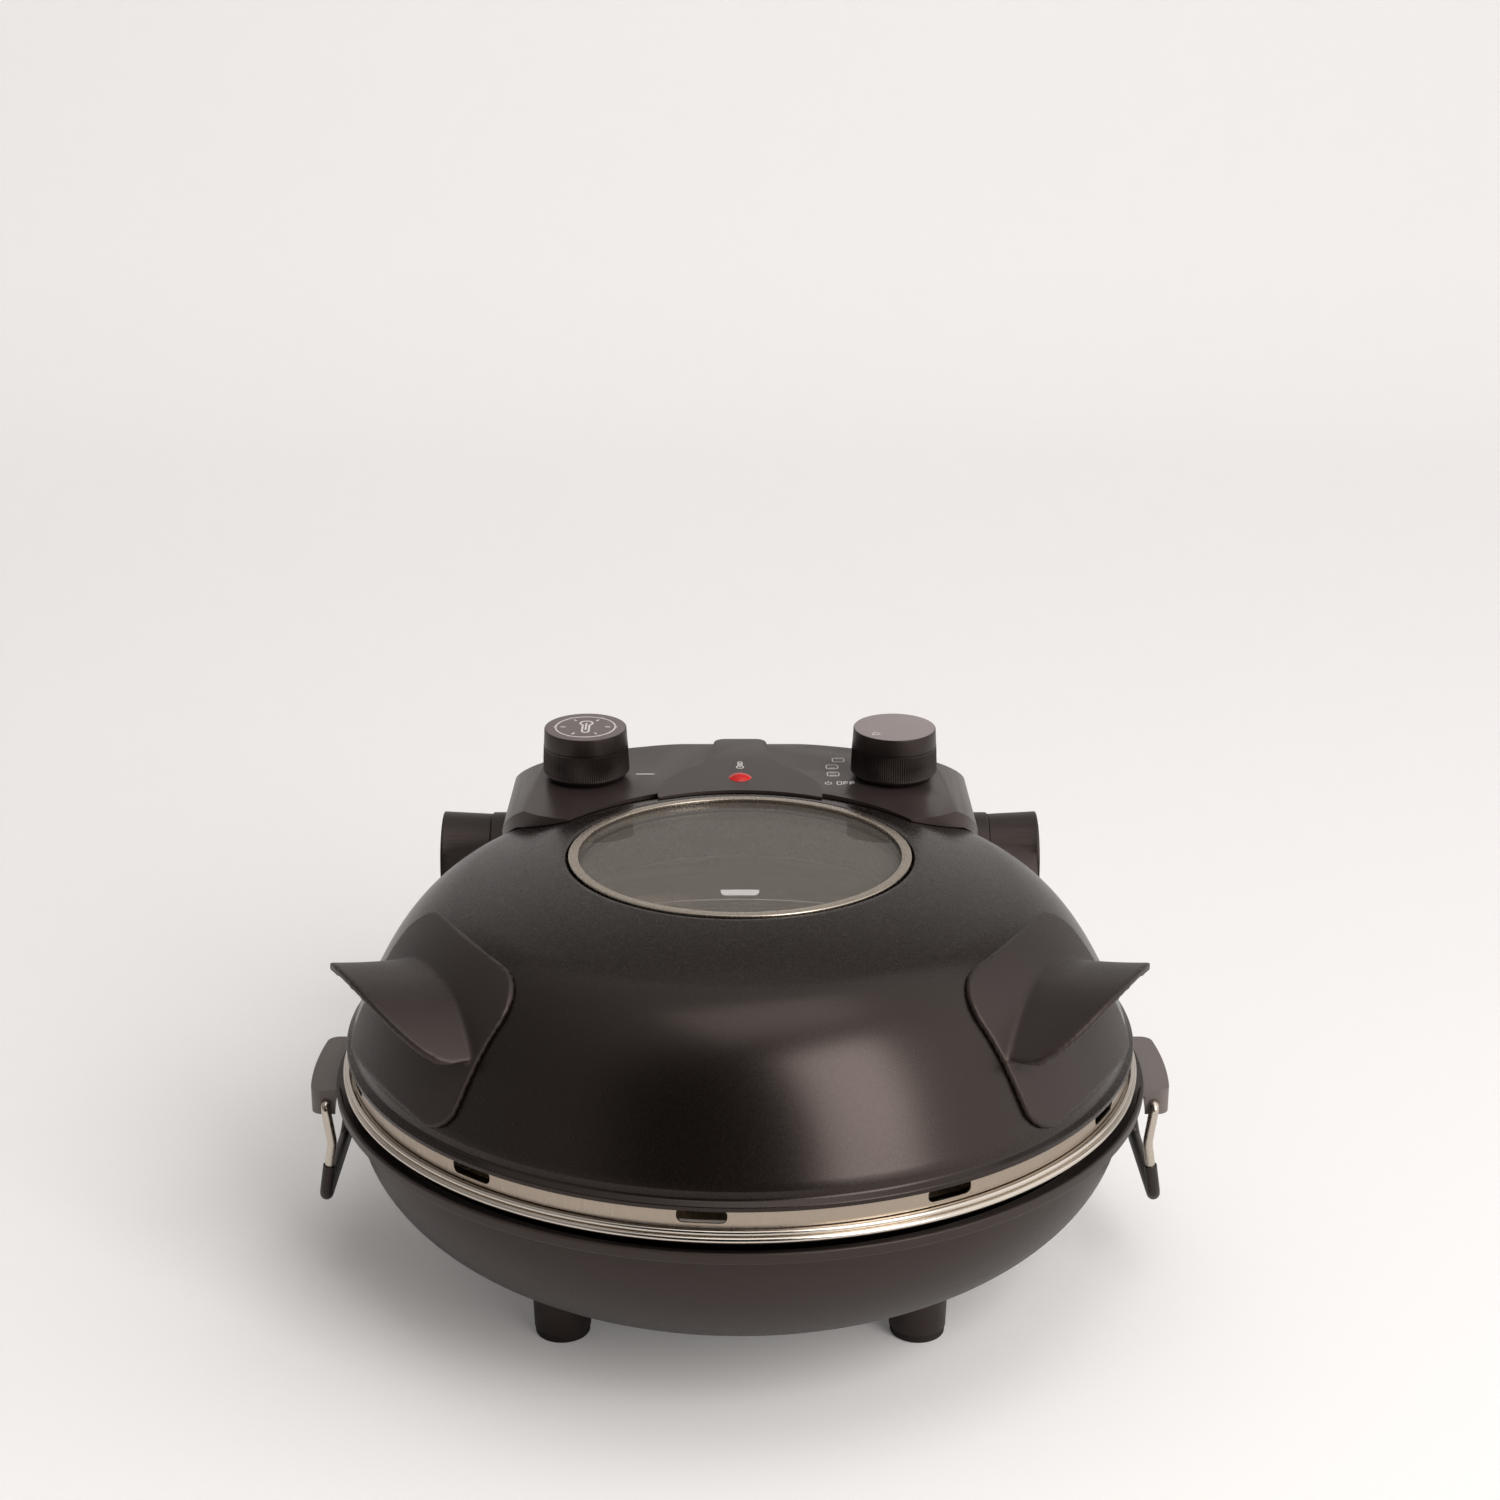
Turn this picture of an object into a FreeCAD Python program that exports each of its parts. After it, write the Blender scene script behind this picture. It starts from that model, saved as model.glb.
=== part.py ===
import FreeCAD, Part
import math
import os

# Tabletop electric stone oven: a bowl-shaped base with a pan and a baking stone,
# and a domed lid with a window, grips and a control housing, hinged at the rear.
# Millimetres, +Z up. The pieces are drawn about the bowl's axis, front towards -Y,
# and are shifted at export so that the origin is the middle of the footprint.

# Base bowl: a quarter ellipse swept round, from a flat bottom to a vertical wall
BOWL_R = 160.0
BOWL_FLAT_R = 66.0
BOWL_BOTTOM_Z = 16.0
BOWL_WALL_Z = 77.0
BOWL_SKIN = 1.6
RIM_R = 168.0
RIM_Z = 84.0
RIM_TOP_Z = 88.4
RIM_COVE = 3.0

# Pan with its rolled steel rim, and the stone that rests on its ledge
PAN_SKIN = 1.0
PAN_R = 154.5
PAN_FLOOR_R = 116.0
PAN_FLOOR_Z = 52.0
PAN_LEDGE_R = 143.0
PAN_LEDGE_Z = 75.0
PAN_TOP_Z = 95.3
PAN_CONE_SHIFT = 0.6
BEAD_R = 165.0
LOWER_BEAD = 1.35
UPPER_BEAD = 1.15
BEAD_STEP = 1.0
STONE_R = 152.0
STONE_THICK = 12.0
STONE_EDGE = 1.5
POST_R = 4.0
POST_PLACE = 50.0

# Heating elements
ELEMENT_TUBE_R = 3.25
LOWER_ELEMENT_R = 98.0
LOWER_ELEMENT_Z = 63.0
UPPER_ELEMENT_R = 112.0
UPPER_ELEMENT_Z = 130.0
ELEMENT_GAP = 24.0
ELEMENT_LEG = 22.0
CLIP_ANGLES = (30.0, 150.0, 270.0)
LEG_HOLE_R = ELEMENT_TUBE_R + 0.6

# Lid dome: a cone from the window to a crease, then a cubic curve to the skirt
DOME_TOP = (74.0, 178.6)
DOME_POLES = ((116.3, 166.7), (140.5, 153.6), (149.1, 131.8), (161.2, 106.4))
DOME_SKIN = 1.2
SKIRT_R = 163.0
SKIRT_TOP_Z = 105.4
SKIRT_Z = 102.5
NECK_R = 71.3
NECK_Z = 172.5

# Lid liner: reflector inside the dome, and the slotted vent band that stands on the pan's rim
LINER_SKIN = 0.9
LINER_POLES = ((75.0, 150.0), (122.0, 149.0), (146.0, 132.0), (152.0, 105.0))
BAND_R = 161.5
BAND_Z = 95.6
BAND_TOP_Z = 103.5
SLOT_LENGTH = 18.5
SLOT_Z = (97.2, 102.8)
SLOT_CORNER = 2.4
SLOT_STEP = 33.3
SLOT_TURN = -4.9
SLOT_COUNT = 9

# Window
RING_R = 70.3
RING_HOLE_R = 66.2
RING_Z = (178.0, 179.3)
RING_SKIN = 1.2
GLASS_R = 68.4
GLASS_Z = (173.6, 177.7)
GASKET_Z = 172.4
GASKET_WIDE = 3.0
GASKET_R = 69.0
WELL_SKIN = 0.8
EDGE = 0.6

# Grips: a plate on the dome with an arched hood over the fingers
GRIP_TURN = 29.0
PLATE_THICK = 2.6
PLATE_LIFT = 33.0
PLATE_LOW = 6.5
PLATE_HIGH = 73.0
PLATE_HALF_LOW = 49.5
PLATE_HALF_HIGH = 48.5
PLATE_CORNER = 13.0
PLATE_HIGH_CORNER = 18.2
HOOD_HALF = 48.3
HOOD_ROOT = 122.0
HOOD_END = 142.8
HOOD_REACH = 30.0
HOOD_PLAN_POWER = 2.1
HOOD_Z = 136.9
HOOD_ROOT_RISE = 16.7
HOOD_RISE = 24.4
HOOD_FALL_POWER = 2.2
HOOD_BEND = 0.65
HOOD_SKIN = 3.3
HOOD_STEPS = 5
HOOD_SHARES = (0.0, 0.2, 0.4, 0.58, 0.74, 0.86, 0.94, 0.985)

# Control housing on the lid
HOUSING_HALF = 106.0
HOUSING_FRONT = 50.0
HOUSING_FRONT_CORNER = 38.0
HOUSING_SHOULDER = 25.0
HOUSING_CORNER = 5.0
HOUSING_GAP = 0.3
HOUSING_WALL = 2.5
HOUSING_FLOOR_Z = 111.0
WINDOW_CLEAR_R = 89.0
PANEL_Z = 176.6
PANEL_Y = 80.0
PANEL_TILT = 2.2
REAR_SLOPE_R = 22.0
REAR_SLOPE = 52.0
REAR_ROUND = 10.0
BACK_R = 153.0
BACK_Y = -6.0
BACK_SPREAD = 1.8
BACK_ABOVE = 10.0
PLATFORM_RISE = 2.4
PLATFORM_ROOT = 3.0
PLATFORM_CLEAR_R = 79.0
PLATFORM_HALF = ((36, 70), (36, 83.5), (33.5, 91), (26.5, 103), (16.5, 113), (13.2, 128), (11.6, 145))
PLATFORM_ROUNDS = [2, 3, 14, 40, 12, 30, 5]
COVER_HALF = 84.0
COVER_RUN = (4.0, 34.0)
COVER_CORNER = 5.0
COVER_THICK = 1.4
COVER_LEDGE = 6.0
COVER_DEPTH = 8.0
COVER_GAP = 0.2

# Knobs and lamp
KNOB_X = 69.0
KNOB_Y = 104.0
KNOB_LIFT = 0.6
KNOB_R = (19.5, 18.8, 18.2)
SKIRT_HEIGHT = 14.6
CAP_HEIGHT = 7.8
SHAFT_R = 3.0
SHAFT_DEPTH = 9.0
CONTROL_SIZE = (30.0, 22.0, 15.0)
LAMP_Y = 94.7
LAMP_R = 5.1
LAMP_RISE = 1.8
LAMP_BODY_R = 3.6
LAMP_BODY_LENGTH = 11.0

# Hinge
HINGE_Y = 172.0
HINGE_Z = 113.0
COLLAR_R = 21.6
COLLAR_END_X = 119.1
BARREL_X = (119.4, 142.4)
BARREL_R = (20.8, 22.0)
BARREL_LIP = 1.0
ARM_LOW_Z = 56.0
ARM_REAR_Y = 132.0
ARM_FRONT_Y = 124.0
ARM_INSET = 1.5
PIN_R = 4.0
PIN_X = (109.0, 140.0)
RUNNING_GAP = 0.05

# Side ears and the wire bails that hang from them
EAR_R = 178.6
EAR_HALF = 26.5
EAR_Z = (73.8, 84.6)
EAR_CORNER = 5.0
EAR_STEM_HALF = 11.5
EAR_END_R = 169.0
EAR_PLATE = 3.1
LIP_NOTCH_HALF = 27.5
BAIL_X = 170.5
BAIL_Z = 78.5
BAIL_HALF = 29.0
BAIL_WIRE_R = 2.0
PIN_BEND = 2.4
WAIST_BEND = 14.0
BAR_BEND = 4.5
BAIL_WAIST = (168.4, 62.0)
BAIL_BAR = (172.4, 37.0)
BAIL_PIN = 9.0
SLEEVE_R = 2.7
SLEEVE_UP = 15.0

# Feet
FOOT_PLACE = 71.5
FOOT_R = 12.0
PAD_R = 11.0
PAD_THICK = 3.5

# Cord inlet
GLAND_Z = 55.0
GLAND_R = 8.0
GLAND_BORE_R = 3.6
GLAND_OUT = 14.0
GLAND_WALL_Y = 153.0
GLAND_HOLE_R = 5.6
GLAND_END_R = 6.0

# Screws
SCREW_R = 1.5
SCREW_HEAD_R = 2.6
SCREW_HEAD = 1.8
FOOT_SCREW = 12.0
FOOT_SCREW_Z = 24.8
EAR_SCREW = 8.0
HINGE_SCREW = 10.0
HINGE_SCREW_TURN = 36.0
HINGE_SCREW_Z = (63.0, 76.0)
EAR_SCREW_TURN = 2.5
GRIP_SCREW_TURN = 9.0
GRIP_SCREW_SHARE = 0.8

# Nearest distance at which two faces are taken to meet when solids are joined
MEET = 0.01

# Room between a piece and the pressed shell that it is screwed to
SEAT_GAP = 0.05

# Longer than any cut needs to be
THROUGH = 250.0

# The origin is the middle of the footprint: the rim in front, the barrels behind
FRAME_Y = (HINGE_Y + BARREL_R[1] - RIM_R) / 2

UP = FreeCAD.Vector(0, 0, 1)
ALONG_X = FreeCAD.Vector(1, 0, 0)
ALONG_Y = FreeCAD.Vector(0, 1, 0)
CENTRE = FreeCAD.Vector(0, 0, 0)


def at(x, y, z):
    """A point."""
    return FreeCAD.Vector(x, y, z)


def ring_point(r, z):
    """A point of a profile that is swept round the bowl's axis."""
    return at(r, 0, z)


def line_edges(points):
    """Straight edges through profile points."""
    return [Part.makeLine(ring_point(*a), ring_point(*b)) for a, b in zip(points, points[1:])]


def curve_edge(poles):
    """One Bezier edge with the given profile poles."""
    curve = Part.BezierCurve()
    curve.setPoles([ring_point(r, z) for r, z in poles])
    return curve.toShape()


def swept_round(edges):
    """The solid of a closed profile swept round the bowl's axis."""
    face = Part.Face(Part.Wire(Part.sortEdges(edges)[0]))
    return face.revolve(CENTRE, UP, 360)


def swept_polygon(points):
    """The swept solid of a closed polygon of profile points."""
    return swept_round(line_edges(list(points) + [points[0]]))


def block(x, y, z):
    """A box between two limits on each axis."""
    return Part.makeBox(x[1] - x[0], y[1] - y[0], z[1] - z[0], at(x[0], y[0], z[0]))


def rod(radius, start, axis, length):
    """A round bar."""
    return Part.makeCylinder(radius, length, start, axis)


def prism(points, direction):
    """A closed polygon of 3-D points, pushed along a direction."""
    return Part.Face(Part.makePolygon(list(points) + [points[0]])).extrude(direction)


def rounded_wire(points, radii):
    """A closed wire through corner points, each corner rounded with its own radius."""
    edges = []
    ends = []
    count = len(points)
    for i, corner in enumerate(points):
        before = (points[i - 1] - corner).normalize()
        after = (points[(i + 1) % count] - corner).normalize()
        half = before.getAngle(after) / 2
        reach = radii[i] / math.tan(half)
        middle = corner + (before + after).normalize() * (radii[i] / math.sin(half) - radii[i])
        start = corner + before * reach
        end = corner + after * reach
        edges.append(Part.Arc(start, middle, end).toShape())
        ends.append((start, end))
    for i in range(count):
        edges.append(Part.makeLine(ends[i - 1][1], ends[i][0]))
    return Part.Wire(Part.sortEdges(edges)[0])


def bent_path(points, radii):
    """An open wire of straight runs joined by tangent arcs, one radius for each corner."""
    edges = []
    start = points[0]
    for before_point, corner, after_point, radius in zip(points, points[1:], points[2:], radii):
        before = (before_point - corner).normalize()
        after = (after_point - corner).normalize()
        half = before.getAngle(after) / 2
        reach = radius / math.tan(half)
        middle = corner + (before + after).normalize() * (radius / math.sin(half) - radius)
        edges.append(Part.makeLine(start, corner + before * reach))
        start = corner + after * reach
        edges.append(Part.Arc(corner + before * reach, middle, start).toShape())
    edges.append(Part.makeLine(start, points[-1]))
    return Part.Wire(edges)


def tube(path, radius):
    """A round wire of one radius along a path."""
    first = path.Edges[0]
    start = first.valueAt(first.FirstParameter)
    tangent = first.tangentAt(first.FirstParameter)
    section = Part.Wire(Part.makeCircle(radius, start, tangent))
    return path.makePipeShell([section], True, False)


def mirrored(shape):
    """The same piece on the other side."""
    return shape.mirror(CENTRE, ALONG_X)


def turned(shape, angle):
    """A piece turned about the bowl's axis."""
    copy = shape.copy()
    copy.rotate(CENTRE, UP, angle)
    return copy


def screw(head_place, axis, length):
    """A pan-head screw; the axis points from the head to the tip."""
    head = rod(SCREW_HEAD_R, head_place, axis, SCREW_HEAD)
    shank = rod(SCREW_R, head_place + axis * SCREW_HEAD, axis, length)
    return head.fuse(shank).removeSplitter()


def bowl_curve(grow):
    """The bowl's quarter ellipse, grown outwards, as Bezier poles from wall to bottom."""
    round_part = 4 * (math.sqrt(2) - 1) / 3
    wide = BOWL_R - BOWL_FLAT_R + grow
    deep = BOWL_WALL_Z - BOWL_BOTTOM_Z + grow
    bottom = BOWL_BOTTOM_Z - grow
    return (
        (BOWL_FLAT_R + wide, BOWL_WALL_Z),
        (BOWL_FLAT_R + wide, BOWL_WALL_Z - round_part * deep),
        (BOWL_FLAT_R + round_part * wide, bottom),
        (BOWL_FLAT_R, bottom),
    )


def bowl_body(grow):
    """The bowl and its rim as a full solid, grown outwards."""
    curve = bowl_curve(grow)
    closing = line_edges([
        curve[3],
        (0, curve[3][1]),
        (0, RIM_TOP_Z),
        (RIM_R + grow, RIM_TOP_Z),
        (RIM_R + grow, RIM_Z - grow),
        (BOWL_R + RIM_COVE + grow, RIM_Z - grow),
        (BOWL_R + grow, RIM_Z - RIM_COVE - grow),
        curve[0],
    ])
    return swept_round([curve_edge(curve)] + closing)


def base_bowl():
    """Pressed bowl with a flange and an upturned lip that stops short at the ears."""
    outside = bowl_curve(0)
    inside = bowl_curve(-BOWL_SKIN)
    bottom = line_edges([outside[3], (0, outside[3][1]), (0, inside[3][1]), inside[3]])
    rim = line_edges([
        inside[0],
        (inside[0][0], RIM_Z + BOWL_SKIN),
        (RIM_R - BOWL_SKIN, RIM_Z + BOWL_SKIN),
        (RIM_R - BOWL_SKIN, RIM_TOP_Z),
        (RIM_R, RIM_TOP_Z),
        (RIM_R, RIM_Z),
        (BOWL_R + RIM_COVE, RIM_Z),
        (BOWL_R, RIM_Z - RIM_COVE),
        outside[0],
    ])
    bowl = swept_round([curve_edge(outside), curve_edge(inside)] + bottom + rim)
    gland_hole = rod(GLAND_HOLE_R, at(0, BOWL_FLAT_R, GLAND_Z), ALONG_Y, BOWL_R)
    notch_floor = RIM_Z + BOWL_SKIN
    lip_notches = block((-RIM_R, RIM_R), (-LIP_NOTCH_HALF, LIP_NOTCH_HALF), (notch_floor, RIM_TOP_Z))
    return bowl.cut([lip_notches, gland_hole, foot_screws(), ear_screws(), hinge_screws()])


def heat_pan():
    """Pressed pan: floor, cone, stone ledge, wall and a rim with two rolled beads."""
    low_r = BEAD_R - LOWER_BEAD
    low_z = PAN_TOP_Z - 2 * UPPER_BEAD - LOWER_BEAD
    high_r = BEAD_R - BEAD_STEP - UPPER_BEAD
    high_z = PAN_TOP_Z - UPPER_BEAD
    inner_r = PAN_R - PAN_SKIN
    skin = swept_polygon([
        (0, PAN_FLOOR_Z),
        (PAN_FLOOR_R, PAN_FLOOR_Z),
        (PAN_LEDGE_R, PAN_LEDGE_Z),
        (inner_r, PAN_LEDGE_Z),
        (inner_r, PAN_TOP_Z),
        (high_r, PAN_TOP_Z),
        (high_r, low_z - LOWER_BEAD),
        (high_r - PAN_SKIN, low_z - LOWER_BEAD),
        (high_r - PAN_SKIN, PAN_TOP_Z - PAN_SKIN),
        (PAN_R, PAN_TOP_Z - PAN_SKIN),
        (PAN_R, PAN_LEDGE_Z - PAN_SKIN),
        (PAN_LEDGE_R + PAN_CONE_SHIFT, PAN_LEDGE_Z - PAN_SKIN),
        (PAN_FLOOR_R + PAN_CONE_SHIFT, PAN_FLOOR_Z - PAN_SKIN),
        (0, PAN_FLOOR_Z - PAN_SKIN),
    ])
    lower_bead = Part.makeTorus(low_r, LOWER_BEAD, ring_point(0, low_z))
    upper_bead = Part.makeTorus(high_r, UPPER_BEAD, ring_point(0, high_z))
    pan = skin.fuse([lower_bead, upper_bead]).removeSplitter()
    for x, y in element_ends(LOWER_ELEMENT_R):
        pan = pan.cut(rod(LEG_HOLE_R, at(x, y, PAN_FLOOR_Z - 5), UP, 10))
    return pan


def pizza_stone():
    """Round baking stone with broken edges."""
    low = PAN_LEDGE_Z
    high = PAN_LEDGE_Z + STONE_THICK
    return swept_polygon([
        (0, low), (STONE_R - STONE_EDGE, low), (STONE_R, low + STONE_EDGE),
        (STONE_R, high - STONE_EDGE), (STONE_R - STONE_EDGE, high), (0, high),
    ])


def element_ends(radius):
    """Plan places of an element's two legs, either side of the gap at the rear."""
    half = math.asin(ELEMENT_GAP / 2 / radius)
    return [(side * radius * math.sin(half), radius * math.cos(half)) for side in (-1, 1)]


def heating_element(radius, z, way):
    """Tubular element: an open ring whose ends bend down or up as legs."""
    left, right = element_ends(radius)
    bend = 2.5 * ELEMENT_TUBE_R
    open_angle = math.degrees(math.asin(ELEMENT_GAP / 2 / radius))
    bend_angle = math.degrees(bend / radius)
    start = 90 + open_angle + bend_angle
    end = 450 - open_angle - bend_angle
    ring = Part.makeCircle(radius, ring_point(0, z), UP, start, end)
    section = Part.Wire(Part.makeCircle(ELEMENT_TUBE_R, ring.valueAt(ring.FirstParameter),
                                        ring.tangentAt(ring.FirstParameter)))
    body = Part.Wire(ring).makePipeShell([section], True, False)
    legs = []
    for x, y in (left, right):
        leg = rod(ELEMENT_TUBE_R, at(x, y, z), UP * way, ELEMENT_LEG)
        elbow = Part.makeSphere(ELEMENT_TUBE_R, at(x, y, z))
        side = math.copysign(bend, x)
        joint = rod(ELEMENT_TUBE_R, at(x, y, z), at(side, 0, 0), bend * 1.02)
        legs += [leg, elbow, joint]
    return body.fuse(legs).removeSplitter()


def element_clips(radius, z, far_z, carrier):
    """Sheet clips that hold an element's ring and reach to the pan or liner that carries them."""
    saddle = block((radius - 6, radius + 6), (-2, 2), (z - 5, z + 5))
    stem = block((radius - 4, radius + 4), (-2, 2), sorted((z, far_z)))
    hole = Part.makeTorus(radius, ELEMENT_TUBE_R + SEAT_GAP, ring_point(0, z))
    clip = saddle.fuse(stem).cut(hole).cut(carrier)
    clip = max(clip.Solids, key=lambda solid: -abs(solid.BoundBox.Center.z - z))
    return Part.makeCompound([turned(clip, angle) for angle in CLIP_ANGLES])


def dome_line(grow):
    """The dome's upper point and Bezier poles, moved outwards along the profile's normals."""
    (rt, zt), ((r0, z0), (r1, z1), (r2, z2), (r3, z3)) = DOME_TOP, DOME_POLES
    cone = math.atan2(r0 - rt, zt - z0)
    first = math.atan2(r1 - r0, z0 - z1)
    last = math.atan2(r3 - r2, z2 - z3)
    mitre = grow / math.cos((cone - first) / 2)
    up = (grow * math.cos(cone), grow * math.sin(cone))
    middle = (mitre * math.cos((cone + first) / 2), mitre * math.sin((cone + first) / 2))
    out = (grow * math.cos(last), grow * math.sin(last))
    poles = ((r0 + middle[0], z0 + middle[1]), (r1 + middle[0], z1 + middle[1]),
             (r2 + out[0], z2 + out[1]), (r3 + out[0], z3 + out[1]))
    return (rt + up[0], zt + up[1]), poles


def dome_body(grow):
    """Everything under the dome's outer face, grown outwards, as one solid."""
    top, poles = dome_line(grow)
    skirt = SKIRT_R + grow
    closing = line_edges([
        poles[3], (skirt, SKIRT_TOP_Z + grow), (skirt, HOUSING_FLOOR_Z - 10),
        (0, HOUSING_FLOOR_Z - 10), (0, top[1]), top, poles[0],
    ])
    return swept_round([curve_edge(poles)] + closing)


def lid_dome():
    """Pressed dome with a neck round the window and a stepped skirt."""
    outer_top, outside = dome_line(0)
    inner_top, inside = dome_line(-DOME_SKIN)
    skirt = line_edges([
        outside[3], (SKIRT_R, SKIRT_TOP_Z), (SKIRT_R, SKIRT_Z), (SKIRT_R - DOME_SKIN, SKIRT_Z),
        (SKIRT_R - DOME_SKIN, SKIRT_TOP_Z - DOME_SKIN), inside[3],
    ])
    neck_outer = NECK_R + DOME_SKIN
    neck = line_edges([
        inside[0], inner_top, (neck_outer, inner_top[1]), (neck_outer, NECK_Z),
        (NECK_R, NECK_Z), (NECK_R, outer_top[1]), outer_top, outside[0],
    ])
    dome = swept_round([curve_edge(outside), curve_edge(inside)] + skirt + neck)
    width, depth, tall = (size + 6 for size in CONTROL_SIZE)
    for side in (-1, 1):
        middle = (side * KNOB_X, KNOB_Y)
        dome = dome.cut(block((middle[0] - width / 2, middle[0] + width / 2),
                              (middle[1] - depth / 2, middle[1] + depth / 2),
                              (HINGE_Z, PANEL_Z + tall)))
    lamp_hole = rod(LAMP_BODY_R + 1.5, at(0, LAMP_Y, HINGE_Z), UP, PANEL_Z)
    return dome.cut([lamp_hole, grip_screws()])


def slot_tool():
    """One vent slot, pushed through the front of the band."""
    half = SLOT_LENGTH / 2
    low, high = SLOT_Z
    corners = [at(-half, -BAND_R - 5, low), at(half, -BAND_R - 5, low),
               at(half, -BAND_R - 5, high), at(-half, -BAND_R - 5, high)]
    outline = rounded_wire(corners, [SLOT_CORNER] * 4)
    return Part.Face(outline).extrude(ALONG_Y * 10)


def liner_under():
    """Poles of the reflector's inner face."""
    return [(r - (LINER_SKIN if i > 1 else 0), z - LINER_SKIN) for i, (r, z) in enumerate(LINER_POLES)]


def lid_liner():
    """Reflector under the dome, open below the window."""
    top = LINER_POLES
    under = liner_under()
    ends = line_edges([top[0], under[0]]) + line_edges([top[3], under[3]])
    liner = swept_round([curve_edge(top), curve_edge(under)] + ends)
    for x, y in element_ends(UPPER_ELEMENT_R):
        liner = liner.cut(rod(LEG_HOLE_R, at(x, y, UPPER_ELEMENT_Z), UP, 40))
    return liner


def vent_band():
    """Slotted band welded under the reflector's edge by a sloping step."""
    inner = BAND_R - LINER_SKIN
    band = swept_polygon([
        LINER_POLES[3], (BAND_R, BAND_TOP_Z), (BAND_R, BAND_Z), (inner, BAND_Z),
        (inner, BAND_TOP_Z - LINER_SKIN), liner_under()[3],
    ])
    angles = [SLOT_TURN + SLOT_STEP * (i - SLOT_COUNT // 2) for i in range(SLOT_COUNT)] + [180.0]
    return band.cut([turned(slot_tool(), angle) for angle in angles])


def window_ring():
    """Steel trim ring: a flat top flange with a skirt inside the dome's neck."""
    return swept_polygon([
        (RING_HOLE_R, RING_Z[0]), (RING_HOLE_R, RING_Z[1] - EDGE), (RING_HOLE_R + EDGE, RING_Z[1]),
        (RING_R - EDGE, RING_Z[1]), (RING_R, RING_Z[1] - EDGE), (RING_R, GASKET_Z),
        (RING_R - RING_SKIN, GASKET_Z), (RING_R - RING_SKIN, RING_Z[0]),
    ])


def window_glass():
    """Flat toughened glass disc with ground edges."""
    low, high = GLASS_Z
    return swept_polygon([(0, low), (GLASS_R - EDGE, low), (GLASS_R, low + EDGE),
                          (GLASS_R, high - EDGE), (GLASS_R - EDGE, high), (0, high)])


def window_gasket():
    """Seal ring between the glass and the well."""
    hole_r = GLASS_R - GASKET_WIDE
    return swept_polygon([(hole_r, GASKET_Z), (GASKET_R, GASKET_Z),
                          (GASKET_R, GLASS_Z[0]), (hole_r, GLASS_Z[0])])


def window_well():
    """Flared sleeve from the window down to the liner's opening."""
    top = GASKET_Z
    under = GASKET_Z - WELL_SKIN
    hole_r = GLASS_R - GASKET_WIDE
    flange_r = NECK_R + DOME_SKIN
    low_r, low_z = LINER_POLES[0]
    return swept_polygon([
        (hole_r, under), (hole_r, top), (flange_r, top), (flange_r, under),
        (RING_R + WELL_SKIN, under), (low_r, low_z), (low_r - WELL_SKIN, low_z), (RING_R, under),
    ])


def grip_frame(across, out, z):
    """A point of the left grip: across its width, out from the bowl's axis, and up."""
    turn = math.radians(GRIP_TURN)
    x = -out * math.cos(turn) + across * math.sin(turn)
    y = -out * math.sin(turn) - across * math.cos(turn)
    return at(x, y, z)


def grip_plate():
    """Plate that follows the dome, cut to a tapered outline with round corners."""
    lift = math.radians(PLATE_LIFT)
    corners = []
    for half, height in ((PLATE_HALF_LOW, PLATE_LOW), (PLATE_HALF_HIGH, PLATE_HIGH)):
        for side in (-1, 1):
            out = -height * math.sin(lift)
            corners.append(grip_frame(side * half, out, height * math.cos(lift)))
    corners[2], corners[3] = corners[3], corners[2]
    outward = grip_frame(0, math.cos(lift), math.sin(lift))
    outline = rounded_wire(corners, [PLATE_CORNER] * 2 + [PLATE_HIGH_CORNER] * 2)
    cutter = Part.Face(outline).extrude(outward * (2 * SKIRT_R))
    return dome_body(PLATE_THICK).cut(dome_body(SEAT_GAP)).common(cutter)


def hood_curve(across, skin):
    """One lengthwise curve of the hood's outer or inner face, at a distance from its middle.

    The lip is a superellipse in plan; the height falls off with a power of the distance
    across, and the face rises faster towards the lip.
    """
    share = abs(across) / HOOD_HALF
    lip = HOOD_END + HOOD_REACH * (1 - share ** HOOD_PLAN_POWER) ** (1 / HOOD_PLAN_POWER)
    height = max(0.0, 1 - (abs(across) / (HOOD_HALF - skin)) ** HOOD_FALL_POWER)
    points = []
    for i in range(HOOD_STEPS + 1):
        run = i / HOOD_STEPS
        out = HOOD_ROOT + (lip - HOOD_ROOT) * run
        climb = (1 - HOOD_BEND) * run + HOOD_BEND * run ** 2
        rise = HOOD_ROOT_RISE + (HOOD_RISE - HOOD_ROOT_RISE) * climb
        points.append(grip_frame(across, out, HOOD_Z + (rise - skin) * height))
    return points


def hood_section(across):
    """Closed section of the hood's wall on a plane square to its width."""
    sides = []
    for skin in (0, HOOD_SKIN):
        curve = Part.BSplineCurve()
        curve.interpolate(hood_curve(across, skin))
        sides.append(curve)
    outer, inner = sides
    lip = Part.makeLine(outer.EndPoint, inner.EndPoint)
    root = Part.makeLine(inner.StartPoint, outer.StartPoint)
    return Part.Wire([outer.toShape(), lip, inner.toShape(), root])


def grip_hood():
    """Hood wall lofted through its sections from side to side."""
    half = [HOOD_HALF * share for share in HOOD_SHARES]
    places = [-across for across in reversed(half[1:])] + half
    return Part.makeLoft([hood_section(across) for across in places], True)


def left_grip():
    """Plate and hood as one moulding, cut to the dome."""
    grip = grip_plate().fuse([grip_hood()], MEET).cut([dome_body(SEAT_GAP)], MEET)
    return grip.cut(grip_screws())


def panel_z(y):
    """Height of the tilted control panel."""
    return PANEL_Z + math.tan(math.radians(PANEL_TILT)) * (y - PANEL_Y)


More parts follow.
